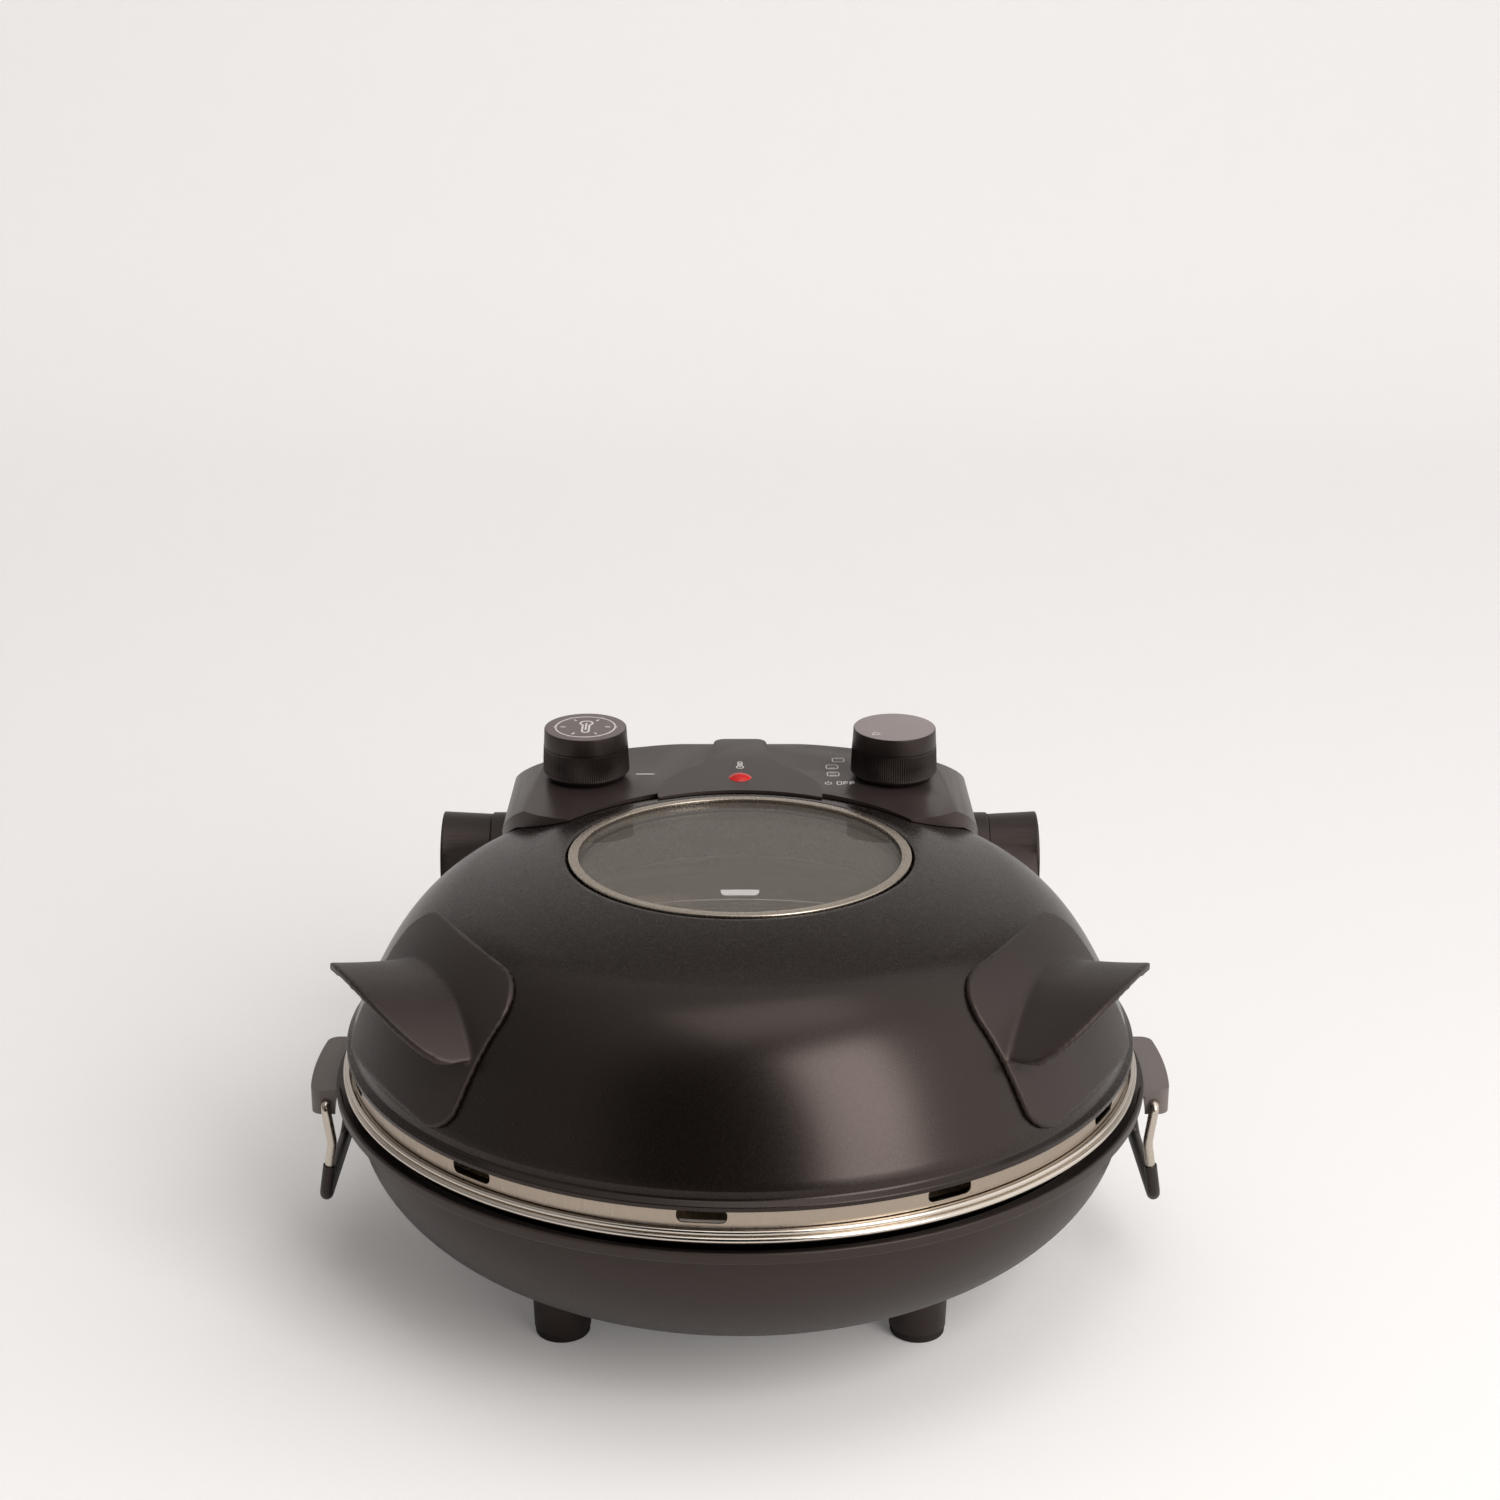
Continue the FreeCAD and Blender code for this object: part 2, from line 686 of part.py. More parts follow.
def housing_block(inset):
    """The housing's full form, drawn in by a wall: side profile, plan and shoulders in common."""
    half = HOUSING_HALF - inset
    slope_r = REAR_SLOPE_R - inset
    low = HOUSING_FLOOR_Z + inset
    low_turn = math.asin((low - HINGE_Z) / slope_r)
    slope_turn = math.radians(90 - REAR_SLOPE)
    turns = (low_turn, (low_turn + slope_turn) / 2, slope_turn)
    rear_low, rear_middle, slope_foot = [
        at(-half, HINGE_Y + slope_r * math.cos(turn), HINGE_Z + slope_r * math.sin(turn))
        for turn in turns]
    tilt = math.tan(math.radians(PANEL_TILT))
    steep = math.tan(math.radians(REAR_SLOPE))
    top_y = (slope_foot.y * steep + slope_foot.z - panel_z(0) + inset) / (steep + tilt)
    front = HOUSING_FRONT - 10
    rear_arc = Part.Arc(rear_low, rear_middle, slope_foot).toShape()
    corners = [slope_foot, at(-half, top_y, panel_z(top_y) - inset),
               at(-half, front, panel_z(front) - inset), at(-half, front, low), rear_low]
    straight = [Part.makeLine(a, b) for a, b in zip(corners, corners[1:])]
    profile = Part.Face(Part.Wire(Part.sortEdges(straight + [rear_arc])[0]))
    shoulder = HOUSING_SHOULDER - inset
    top = panel_z(top_y) - inset
    side_form = rounded_top(profile.extrude(ALONG_X * (2 * half)), REAR_ROUND - inset, top_y, top)
    front_y = HOUSING_FRONT + inset
    rear_y = HINGE_Y + REAR_SLOPE_R + 10
    front_corner = HOUSING_FRONT_CORNER - inset
    plan = [at(-half, front_y, 0), at(half, front_y, 0), at(half, rear_y, 0), at(-half, rear_y, 0)]
    plan_outline = rounded_wire(plan, [front_corner] * 2 + [HOUSING_CORNER] * 2)
    plan_form = Part.Face(plan_outline).extrude(UP * THROUGH)
    arch = [at(-half, 0, 0), at(half, 0, 0), at(half, 0, top), at(-half, 0, top)]
    arch_outline = rounded_wire(arch, [HOUSING_CORNER] * 2 + [shoulder] * 2)
    arch_form = Part.Face(arch_outline).extrude(ALONG_Y * THROUGH)
    return side_form.common(plan_form).common(arch_form).common(round_back(inset))


def round_back(inset):
    """Shallow cone that rounds the rear corners of the panel, drawn in by a wall."""
    panel_top = panel_z(BACK_R)
    high = panel_top + BACK_ABOVE
    radius = BACK_R - inset * math.hypot(1, BACK_SPREAD)
    low_r = radius + BACK_SPREAD * (panel_top - HOUSING_FLOOR_Z)
    high_r = radius - BACK_SPREAD * (high - panel_top)
    return Part.makeCone(low_r, high_r, high - HOUSING_FLOOR_Z, at(0, BACK_Y, HOUSING_FLOOR_Z), UP)


def slope_ways():
    """Directions on the housing's rear slope: into the housing, and up the slope."""
    slope = math.radians(REAR_SLOPE)
    return at(0, -math.sin(slope), -math.cos(slope)), at(0, -math.cos(slope), math.sin(slope))


def rounded_top(form, radius, y, z):
    """Round the edge where the panel turns into the rear slope."""
    edges = [edge for edge in form.Edges
             if all(abs(v.Y - y) < 0.01 and abs(v.Z - z) < 0.01 for v in edge.Vertexes)]
    return form.makeFillet(radius, edges)


def bell_platform():
    """Raised bell-shaped platform that carries the lamp, leaning with the panel."""
    points = [at(x, y, 0) for x, y in PLATFORM_HALF]
    points += [at(-x, y, 0) for x, y in reversed(PLATFORM_HALF)]
    outline = rounded_wire(points, PLATFORM_ROUNDS + PLATFORM_ROUNDS[::-1])
    column = Part.Face(outline).extrude(UP * THROUGH)
    slab = prism([at(-50, y, panel_z(y) + rise) for y, rise in
                  ((60, -PLATFORM_ROOT), (60, PLATFORM_RISE), (150, PLATFORM_RISE),
                   (150, -PLATFORM_ROOT))], ALONG_X * 100)
    return slab.common(column).cut(rod(PLATFORM_CLEAR_R, CENTRE, UP, THROUGH))


def knob_axis():
    """Direction of the knob axes, square to the panel."""
    tilt = math.radians(PANEL_TILT)
    return at(0, -math.sin(tilt), math.cos(tilt))


def knob_seat(side):
    """Where a knob's axis meets the panel."""
    return at(side * KNOB_X, KNOB_Y, panel_z(KNOB_Y))


def cover_slab(grow, top, bottom):
    """Slab along the housing's rear slope, between two depths under its face."""
    inward, up_slope = slope_ways()
    foot_line = at(0, HINGE_Y, HINGE_Z) - inward * (REAR_SLOPE_R - top)
    half = COVER_HALF + grow
    low = foot_line + up_slope * (COVER_RUN[0] - grow)
    high = foot_line + up_slope * (COVER_RUN[1] + grow)
    corners = [low - ALONG_X * half, low + ALONG_X * half, high + ALONG_X * half, high - ALONG_X * half]
    outline = rounded_wire(corners, [COVER_CORNER + min(0, grow / 2)] * 4)
    return Part.Face(outline).extrude(inward * (bottom - top))


def rear_cover():
    """Flat cover let into the housing's rear slope."""
    return cover_slab(0, 0, COVER_THICK).cut(rear_cover_screws())


def rear_cover_screws():
    """Four screws in the corners of the rear cover."""
    inward, up_slope = slope_ways()
    foot_line = at(0, HINGE_Y, HINGE_Z) - inward * (REAR_SLOPE_R + SCREW_HEAD)
    edge = COVER_LEDGE / 2 + 0.5
    places = [foot_line + ALONG_X * (side * (COVER_HALF - edge)) + up_slope * run
              for side in (-1, 1) for run in (COVER_RUN[0] + edge, COVER_RUN[1] - edge)]
    return screw_group([(place, inward) for place in places], HOUSING_WALL + 2)


def control_housing():
    """Moulded housing shell: open towards the dome, with the platform and its openings."""
    outer = housing_block(0).cut(rod(WINDOW_CLEAR_R, CENTRE, UP, THROUGH))
    inner = housing_block(HOUSING_WALL).cut(rod(WINDOW_CLEAR_R + HOUSING_WALL, CENTRE, UP, THROUGH))
    shell = outer.cut(inner).fuse(bell_platform().cut(inner))
    shell = shell.cut(dome_body(HOUSING_GAP))
    shell = max(shell.Solids, key=lambda solid: solid.Volume)
    for side in (-1, 1):
        shell = shell.cut(rod(SHAFT_R + 0.5, knob_seat(side) - knob_axis() * 8, knob_axis(), 16))
    shell = shell.cut(rod(LAMP_BODY_R + 0.1, lamp_seat() - knob_axis() * 2 * LAMP_BODY_LENGTH,
                          knob_axis(), 3 * LAMP_BODY_LENGTH))
    shell = shell.cut(cover_slab(COVER_GAP, -1, COVER_THICK))
    shell = shell.cut(cover_slab(-COVER_LEDGE, -1, COVER_DEPTH))
    return shell.cut(rear_cover_screws()).removeSplitter()


def knob_part(side, low, high, low_r, high_r, chamfer):
    """One conical part of a knob between two heights above the panel, with chamfered rims."""
    start = knob_seat(side) + knob_axis() * low
    cone = Part.makeCone(low_r, high_r, high - low, start, knob_axis())
    rims = [edge for edge in cone.Edges if edge.Closed]
    return cone.makeChamfer(chamfer, rims)


def knob(side):
    """A knob in two pieces, and the control shaft that it sits on."""
    top = KNOB_LIFT + SKIRT_HEIGHT
    skirt = knob_part(side, KNOB_LIFT, top, KNOB_R[0], KNOB_R[1], 0.6)
    cap = knob_part(side, top, top + CAP_HEIGHT, KNOB_R[1], KNOB_R[2], 0.5)
    seat = knob_seat(side)
    shaft = rod(SHAFT_R, seat - knob_axis() * SHAFT_DEPTH, knob_axis(), SHAFT_DEPTH + SKIRT_HEIGHT - 2)
    return skirt.cut(shaft), cap, shaft


def control_body(side):
    """Thermostat or switch: a case whose neck meets the panel from below, bored for its shaft."""
    width, depth, tall = CONTROL_SIZE
    top = panel_z(KNOB_Y) - HOUSING_WALL - 2
    case = block((side * KNOB_X - width / 2, side * KNOB_X + width / 2),
                 (KNOB_Y - depth / 2, KNOB_Y + depth / 2), (top - tall, top))
    edges = [edge for edge in case.Edges if abs(edge.tangentAt(edge.FirstParameter).z) > 0.9]
    case = case.makeFillet(3, edges)
    seat = knob_seat(side)
    neck = rod(2 * SHAFT_R, seat - knob_axis() * (HOUSING_WALL + 4), knob_axis(), 4)
    bore = rod(SHAFT_R + RUNNING_GAP, seat - knob_axis() * SHAFT_DEPTH, knob_axis(), 30)
    return case.fuse(neck).cut(bore).removeSplitter()


def lamp_seat():
    """Middle of the lamp on the platform's face."""
    return at(0, LAMP_Y, panel_z(LAMP_Y) + PLATFORM_RISE)


def lamp_lens():
    """Domed lamp lens on the platform."""
    ball_r = (LAMP_R ** 2 + LAMP_RISE ** 2) / (2 * LAMP_RISE)
    ball = Part.makeSphere(ball_r, lamp_seat() - knob_axis() * (ball_r - LAMP_RISE))
    return ball.common(rod(LAMP_R, lamp_seat(), knob_axis(), 2 * LAMP_RISE))


def lamp_body():
    """Lamp holder that hangs from the lens into the lid."""
    return rod(LAMP_BODY_R, lamp_seat() - knob_axis() * LAMP_BODY_LENGTH, knob_axis(), LAMP_BODY_LENGTH)


def hinge_bar(radius, x):
    """A round bar on the hinge axis between two places along X."""
    return rod(radius, at(x[0], HINGE_Y, HINGE_Z), ALONG_X, x[1] - x[0])


def right_collar():
    """Lid-side hinge collar that turns on the pin."""
    ends = (HOUSING_HALF + 0.02, COLLAR_END_X)
    return hinge_bar(COLLAR_R, ends).cut(hinge_bar(PIN_R + RUNNING_GAP, (PIN_X[0] - 1, PIN_X[1])))


def barrel_tangent(y, z, side):
    """Where a line from a point of the web touches the barrel's circle, above or below."""
    away = math.hypot(HINGE_Y - y, HINGE_Z - z)
    aim = math.atan2(HINGE_Z - z, HINGE_Y - y) + side * math.asin(BARREL_R[0] / away)
    run = math.sqrt(away ** 2 - BARREL_R[0] ** 2)
    return y + run * math.cos(aim), z + run * math.sin(aim)


def right_hinge_arm():
    """Base-side arm: a flared barrel on a web that stands on the bowl's wall."""
    start, end = BARREL_X
    barrel = Part.makeCone(BARREL_R[0], BARREL_R[1], end - start, at(start, HINGE_Y, HINGE_Z), ALONG_X)
    lip_middle = at(end - BARREL_LIP, HINGE_Y, HINGE_Z)
    lip = Part.makeTorus(BARREL_R[1] - BARREL_LIP, BARREL_LIP, lip_middle, ALONG_X)
    web_low = (ARM_REAR_Y, ARM_LOW_Z)
    web_high = (ARM_FRONT_Y, RIM_TOP_Z + 2)
    outline = [(BOWL_FLAT_R, ARM_LOW_Z), web_low, barrel_tangent(*web_low, -1), (HINGE_Y, HINGE_Z),
               barrel_tangent(*web_high, 1), web_high, (ARM_FRONT_Y, RIM_Z - BARREL_LIP),
               (BOWL_FLAT_R, RIM_Z - BARREL_LIP)]
    web_x = (start + ARM_INSET, end - ARM_INSET)
    web = prism([at(web_x[0], y, z) for y, z in outline], ALONG_X * (web_x[1] - web_x[0]))
    arm = barrel.fuse([lip, web])
    arm = arm.cut(bowl_body(SEAT_GAP))
    arm = max(arm.Solids, key=lambda solid: solid.Volume)
    return arm.cut(hinge_bar(PIN_R, PIN_X)).cut(hinge_screws()).removeSplitter()


def right_ear():
    """Bracket under the rim that carries a bail: a top plate, a stem and two hanging ends."""
    low, high = EAR_Z
    ring = rod(EAR_R, ring_point(0, low), UP, high - low).cut(bowl_body(SEAT_GAP))
    ear = ring.common(block((BOWL_R - 20, EAR_R + 5), (-EAR_HALF, EAR_HALF), (low, high)))
    corners = [edge for edge in ear.Edges
               if abs(edge.tangentAt(edge.FirstParameter).z) > 0.9
               and math.hypot(edge.Vertexes[0].X, edge.Vertexes[0].Y) > EAR_R - 1]
    ear = ear.makeFillet(EAR_CORNER, corners)
    open_ring = rod(EAR_END_R, ring_point(0, low), UP, high - low - EAR_PLATE)
    stem = block((0, EAR_R), (-EAR_STEM_HALF, EAR_STEM_HALF), (low, high))
    ear = ear.cut(open_ring.cut(stem))
    for side in (-1, 1):
        pin_hole = rod(BAIL_WIRE_R + RUNNING_GAP, at(BAIL_X, side * (EAR_HALF + 1), BAIL_Z),
                       ALONG_Y * -side, BAIL_PIN)
        ear = ear.cut(pin_hole)
    return ear.cut(ear_screws())


def bail_points(reach):
    """Half of a bail's route, from its pin inside the ear to the middle of the bar."""
    return [at(BAIL_X, reach, BAIL_Z), at(BAIL_X, BAIL_HALF, BAIL_Z),
            at(BAIL_WAIST[0], BAIL_HALF, BAIL_WAIST[1]), at(BAIL_BAR[0], BAIL_HALF, BAIL_BAR[1])]


def right_bail():
    """Wire bail with in-turned pins, and the sleeve on its bar."""
    half = bail_points(BAIL_HALF - BAIL_PIN)
    other = [at(p.x, -p.y, p.z) for p in reversed(half)]
    bends = [PIN_BEND, WAIST_BEND, BAR_BEND]
    wire = tube(bent_path(half + other, bends + bends[::-1]), BAIL_WIRE_R)
    waist, bar = half[2], half[3]
    up_leg = (waist - bar).normalize()
    sleeve_start = bar + up_leg * SLEEVE_UP
    sleeve_end = at(sleeve_start.x, -sleeve_start.y, sleeve_start.z)
    path = bent_path([sleeve_start, bar, at(bar.x, -bar.y, bar.z), sleeve_end], [BAR_BEND] * 2)
    return wire, tube(path, SLEEVE_R).cut(tube(path, BAIL_WIRE_R + 0.02))


def foot(x, y):
    """Round foot, cut to the bowl's underside, and its rubber pad."""
    post = rod(FOOT_R, at(x, y, PAD_THICK), UP, 30).cut(bowl_body(SEAT_GAP))
    post = min(post.Solids, key=lambda solid: solid.BoundBox.ZMin)
    pad = rod(PAD_R, at(x, y, 0), UP, PAD_THICK)
    rim = [edge for edge in pad.Edges if edge.Closed and edge.Vertexes[0].Z < 0.01]
    return post.cut(foot_screws()), pad.makeChamfer(0.8, rim)


def terminal_block():
    """Ceramic wiring block under the pan, beside the element's legs."""
    top = PAN_FLOOR_Z - PAN_SKIN
    inner = LOWER_ELEMENT_R + ELEMENT_TUBE_R + 2
    block_body = block((-18, 18), (inner, inner + 10), (top - 12, top))
    wire_holes = [rod(2, at(x, inner - 1, top - 6), ALONG_Y, 20) for x in (-12, 0, 12)]
    return block_body.cut(wire_holes)


def cord_gland():
    """Cord inlet bush in the bowl's rear wall: a collar outside, a neck through the wall."""
    neck = rod(GLAND_HOLE_R - 0.1, at(0, GLAND_WALL_Y - 6, GLAND_Z), ALONG_Y, 8)
    collar_foot = at(0, GLAND_WALL_Y + 1.5, GLAND_Z)
    collar = Part.makeCone(GLAND_R, GLAND_END_R, GLAND_OUT, collar_foot, ALONG_Y)
    bush = neck.fuse(collar.cut(bowl_body(SEAT_GAP)))
    bore = rod(GLAND_BORE_R, at(0, GLAND_WALL_Y - 10, GLAND_Z), ALONG_Y, GLAND_OUT + 20)
    return bush.cut(bore).removeSplitter()


def screw_group(places, length):
    """A group of separate screws, each with its head's place and its direction."""
    return Part.makeCompound([screw(place, axis, length) for place, axis in places])


def foot_screws():
    """Screws from inside the bowl down into the feet."""
    sides = (-FOOT_PLACE, FOOT_PLACE)
    places = [(at(x, y, FOOT_SCREW_Z), UP * -1) for x in sides for y in sides]
    return screw_group(places, FOOT_SCREW)


def radial_screws(turns, heights, length):
    """Screws from inside the bowl's wall straight outwards."""
    head_r = BOWL_R - BOWL_SKIN - SCREW_HEAD - 0.1
    places = []
    for turn in turns:
        out = at(math.cos(math.radians(turn)), math.sin(math.radians(turn)), 0)
        places += [(out * head_r + UP * z, out) for z in heights]
    return screw_group(places, length)


def ear_screws():
    """Two screws in each ear."""
    turns = [middle + lean for middle in (0, 180) for lean in (-EAR_SCREW_TURN, EAR_SCREW_TURN)]
    return radial_screws(turns, [BAIL_Z], EAR_SCREW)


def hinge_screws():
    """Two screws in each hinge arm, one above the other."""
    return radial_screws([HINGE_SCREW_TURN, 180 - HINGE_SCREW_TURN], HINGE_SCREW_Z, HINGE_SCREW)


def grip_screws():
    """Two screws in each grip, square to the dome, from inside the lid."""
    share = GRIP_SCREW_SHARE
    weights = ((1 - share) ** 2, 2 * share * (1 - share), share ** 2)
    steps = [(b[0] - a[0], b[1] - a[1]) for a, b in zip(DOME_POLES, DOME_POLES[1:])]
    run = [sum(w * step[i] for w, step in zip(weights, steps)) for i in (0, 1)]
    cubic = ((1 - share) ** 3, 3 * share * (1 - share) ** 2, 3 * share ** 2 * (1 - share), share ** 3)
    r, z = (sum(w * pole[i] for w, pole in zip(cubic, DOME_POLES)) for i in (0, 1))
    size = math.hypot(*run)
    normal = at(-run[1] / size, 0, run[0] / size)
    head = ring_point(r, z) - normal * (DOME_SKIN + SCREW_HEAD + 0.1)
    one = screw(head, normal, DOME_SKIN + PLATE_THICK - 0.5)
    turns = [GRIP_TURN - GRIP_SCREW_TURN, GRIP_TURN + GRIP_SCREW_TURN]
    return Part.makeCompound([turned(one, angle) for turn in turns for angle in (180 + turn, -turn)])


def pan_posts():
    """Three posts that carry the pan above the bowl's floor."""
    low = BOWL_BOTTOM_Z + BOWL_SKIN
    post = rod(POST_R, at(POST_PLACE, 0, low), UP, PAN_FLOOR_Z - PAN_SKIN - low)
    return Part.makeCompound([turned(post, angle) for angle in CLIP_ANGLES])


def save(name, shape):
    """Shift one piece into the part's frame and write it."""
    solids = shape.Solids
    moved = Part.makeCompound(solids) if len(solids) > 1 else solids[0]
    moved = moved.translated(at(0, -FRAME_Y, 0))
    if not moved.isValid() or min(solid.Volume for solid in solids) <= 0:
        print("check", name, moved.isValid(), [round(solid.Volume, 1) for solid in solids])
    moved.exportStep(os.path.join("parts", name + ".step"))
    box = moved.BoundBox
    print(f"{name}: {len(solids)} solids, x {box.XMin:.1f} {box.XMax:.1f}, "
          f"y {box.YMin:.1f} {box.YMax:.1f}, z {box.ZMin:.1f} {box.ZMax:.1f}")


def save_pair(name, right):
    """Write a right-hand piece and its mirror image."""
    save("right_" + name, right)
    save("left_" + name, mirrored(right))


def save_base():
    """The pieces of the base."""
    save("base_bowl", base_bowl())
    pan = heat_pan()
    save("heat_pan", pan)
    save("pizza_stone", pizza_stone())
    save("lower_element", heating_element(LOWER_ELEMENT_R, LOWER_ELEMENT_Z, -1))
    save("lower_element_clips", element_clips(LOWER_ELEMENT_R, LOWER_ELEMENT_Z, PAN_FLOOR_Z, pan))
    save("pan_posts", pan_posts())
    save("terminal_block", terminal_block())
    save("cord_gland", cord_gland())
    save_pair("ear", right_ear())
    save_pair("hinge_arm", right_hinge_arm())
    save_pair("hinge_pin", hinge_bar(PIN_R, PIN_X))
    save("foot_screws", foot_screws())
    save("ear_screws", ear_screws())
    save("hinge_screws", hinge_screws())
    for row, y in (("front", -FOOT_PLACE), ("rear", FOOT_PLACE)):
        for side, x in (("left", -FOOT_PLACE), ("right", FOOT_PLACE)):
            post, pad = foot(x, y)
            save(f"{row}_{side}_foot", post)
            save(f"{row}_{side}_pad", pad)


def save_lid():
    """The pieces of the lid."""
    save("lid_dome", lid_dome())
    liner = lid_liner()
    save("lid_liner", liner)
    save("vent_band", vent_band())
    save("window_ring", window_ring())
    save("window_glass", window_glass())
    save("window_gasket", window_gasket())
    save("window_well", window_well())
    save("upper_element", heating_element(UPPER_ELEMENT_R, UPPER_ELEMENT_Z, 1))
    clips = element_clips(UPPER_ELEMENT_R, UPPER_ELEMENT_Z, LINER_POLES[0][1], liner)
    save("upper_element_clips", clips)
    save("grip_screws", grip_screws())
    grip = left_grip()
    save("left_grip", grip)
    save("right_grip", mirrored(grip))
    save("control_housing", control_housing())
    save("rear_cover", rear_cover())
    save("rear_cover_screws", rear_cover_screws())
    save_pair("hinge_collar", right_collar())
    save("lamp_lens", lamp_lens())
    save("lamp_body", lamp_body())
    save("thermostat", control_body(-1))
    save("selector_switch", control_body(1))


def save_controls():
    """The two knobs, which turn on the lid."""
    for side, name in ((-1, "temperature"), (1, "mode")):
        skirt, cap, shaft = knob(side)
        save(name + "_knob_skirt", skirt)
        save(name + "_knob_cap", cap)
        save(name + "_shaft", shaft)


def save_bails():
    """The wire bails with their sleeves."""
    wire, sleeve = right_bail()
    save_pair("bail_wire", wire)
    save_pair("bail_sleeve", sleeve)


os.makedirs("parts", exist_ok=True)
save_base()
save_lid()
save_controls()
save_bails()
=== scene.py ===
import math
import bmesh
import bpy
import numpy as np
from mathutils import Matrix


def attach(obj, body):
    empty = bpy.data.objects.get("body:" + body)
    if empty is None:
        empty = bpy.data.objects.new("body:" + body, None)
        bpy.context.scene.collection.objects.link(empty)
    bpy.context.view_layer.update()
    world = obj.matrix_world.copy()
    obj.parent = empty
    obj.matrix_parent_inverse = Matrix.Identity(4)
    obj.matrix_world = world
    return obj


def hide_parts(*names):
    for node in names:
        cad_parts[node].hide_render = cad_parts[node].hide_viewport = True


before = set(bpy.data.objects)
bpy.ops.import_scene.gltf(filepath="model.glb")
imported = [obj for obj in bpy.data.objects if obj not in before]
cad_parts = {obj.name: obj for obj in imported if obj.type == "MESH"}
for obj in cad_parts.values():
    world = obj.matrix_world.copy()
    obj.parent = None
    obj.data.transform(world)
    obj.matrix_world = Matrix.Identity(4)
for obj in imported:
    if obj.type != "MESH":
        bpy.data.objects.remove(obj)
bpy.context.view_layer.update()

# Sizes are in millimetres and are turned to metres when a mesh is made.
MM = 0.001

# The bowl's axis stands this far in front of the middle of the footprint.
AXIS_Y = -13.0

# Steps round the large turned pieces and round the small ones
ROUND_STEPS = 256
SMALL_STEPS = 96

# Distances in metres within which the points of a new mesh, and those of a CAD mesh, are one, and the
# length under which an edge is dissolved
SAME_POINT = 1e-6
CAD_SAME_POINT = 1e-5
EMPTY_EDGE = 1e-7
# Edges sharper than this are kept as edges in the shading.
CREASE = math.radians(38)
# A softened copy gets its bevel on edges sharper than this; flatter than the second, faces are joined.
BEVEL_FROM = math.radians(35)
FLAT_WITHIN = math.radians(0.6)


def linear(hex_text):
    """An sRGB hex colour as linear red, green, blue and alpha."""
    values = np.array([int(hex_text[i:i + 2], 16) for i in (1, 3, 5)]) / 255
    low = values / 12.92
    high = ((values + 0.055) / 1.055) ** 2.4
    return tuple(np.where(values <= 0.04045, low, high)) + (1.0,)


def add(tree, kind, inputs=None, **settings):
    """Add a node: settings are its own properties, inputs are values or sockets to link from."""
    made = tree.nodes.new(kind)
    for key, value in settings.items():
        setattr(made, key, value)
    for key, value in (inputs or {}).items():
        if isinstance(value, bpy.types.NodeSocket):
            tree.links.new(value, made.inputs[key])
        else:
            made.inputs[key].default_value = value
    return made


def new_finish(name):
    """An empty material and its node tree."""
    made = bpy.data.materials.new(name)
    made.use_nodes = True
    made.node_tree.nodes.clear()
    return made, made.node_tree


def grain_sizes(size_mm):
    """Noise scale whose features are about this many millimetres across."""
    return 1 / (size_mm * MM)


# Tint of the sheen on paint and plastic, and the width of the slow clouds in their colour
WARM_SHEEN = "#ffe9e1"
CLOUD_MM = 60


def coated(name, dark, light, rough, rough_spread, grain_mm, bump):
    """A painted or moulded surface.

    Two close tones mix over a slow cloud, and a fine grain of grain_mm gives the bump and
    spreads the roughness. The sheen is a little warm.
    """
    made, tree = new_finish(name)
    place = add(tree, "ShaderNodeTexCoord").outputs["Object"]
    cloud = add(tree, "ShaderNodeTexNoise", {"Vector": place, "Scale": grain_sizes(CLOUD_MM),
                                             "Detail": 3.0})
    grain = add(tree, "ShaderNodeTexNoise", {"Vector": place, "Scale": grain_sizes(grain_mm),
                                             "Detail": 2.0})
    tone = add(tree, "ShaderNodeMix", {"Factor": cloud.outputs["Fac"], "A": linear(dark),
                                       "B": linear(light)}, data_type="RGBA")
    spread = add(tree, "ShaderNodeMapRange", {"Value": grain.outputs["Fac"], "From Min": 0.3,
                                              "From Max": 0.7, "To Min": rough - rough_spread,
                                              "To Max": rough + rough_spread})
    relief = add(tree, "ShaderNodeBump", {"Height": grain.outputs["Fac"], "Strength": bump,
                                          "Distance": grain_mm * MM * 0.2})
    shader = add(tree, "ShaderNodeBsdfPrincipled", {
        "Base Color": tone.outputs["Result"], "Roughness": spread.outputs["Result"],
        "Normal": relief.outputs["Normal"], "Specular Tint": linear(WARM_SHEEN)})
    add(tree, "ShaderNodeOutputMaterial", {"Surface": shader.outputs["BSDF"]})
    return made


def metal(name, colour, rough, streak, streak_mm, bump):
    """A bare metal whose brush marks are a noise stretched along one way of Object space.

    streak is the stretch on X, Y and Z; streak_mm is the spacing of the marks.
    """
    made, tree = new_finish(name)
    place = add(tree, "ShaderNodeTexCoord").outputs["Object"]
    drawn = add(tree, "ShaderNodeMapping", {"Vector": place, "Scale": streak})
    marks = add(tree, "ShaderNodeTexNoise", {"Vector": drawn.outputs["Vector"],
                                             "Scale": grain_sizes(streak_mm), "Detail": 2.0})
    spread = add(tree, "ShaderNodeMapRange", {"Value": marks.outputs["Fac"], "From Min": 0.3,
                                              "From Max": 0.7, "To Min": rough * 0.8,
                                              "To Max": rough * 1.25})
    relief = add(tree, "ShaderNodeBump", {"Height": marks.outputs["Fac"], "Strength": bump,
                                          "Distance": streak_mm * MM * 0.1})
    shader = add(tree, "ShaderNodeBsdfPrincipled", {
        "Base Color": linear(colour), "Metallic": 1.0, "Roughness": spread.outputs["Result"],
        "Normal": relief.outputs["Normal"]})
    add(tree, "ShaderNodeOutputMaterial", {"Surface": shader.outputs["BSDF"]})
    return made


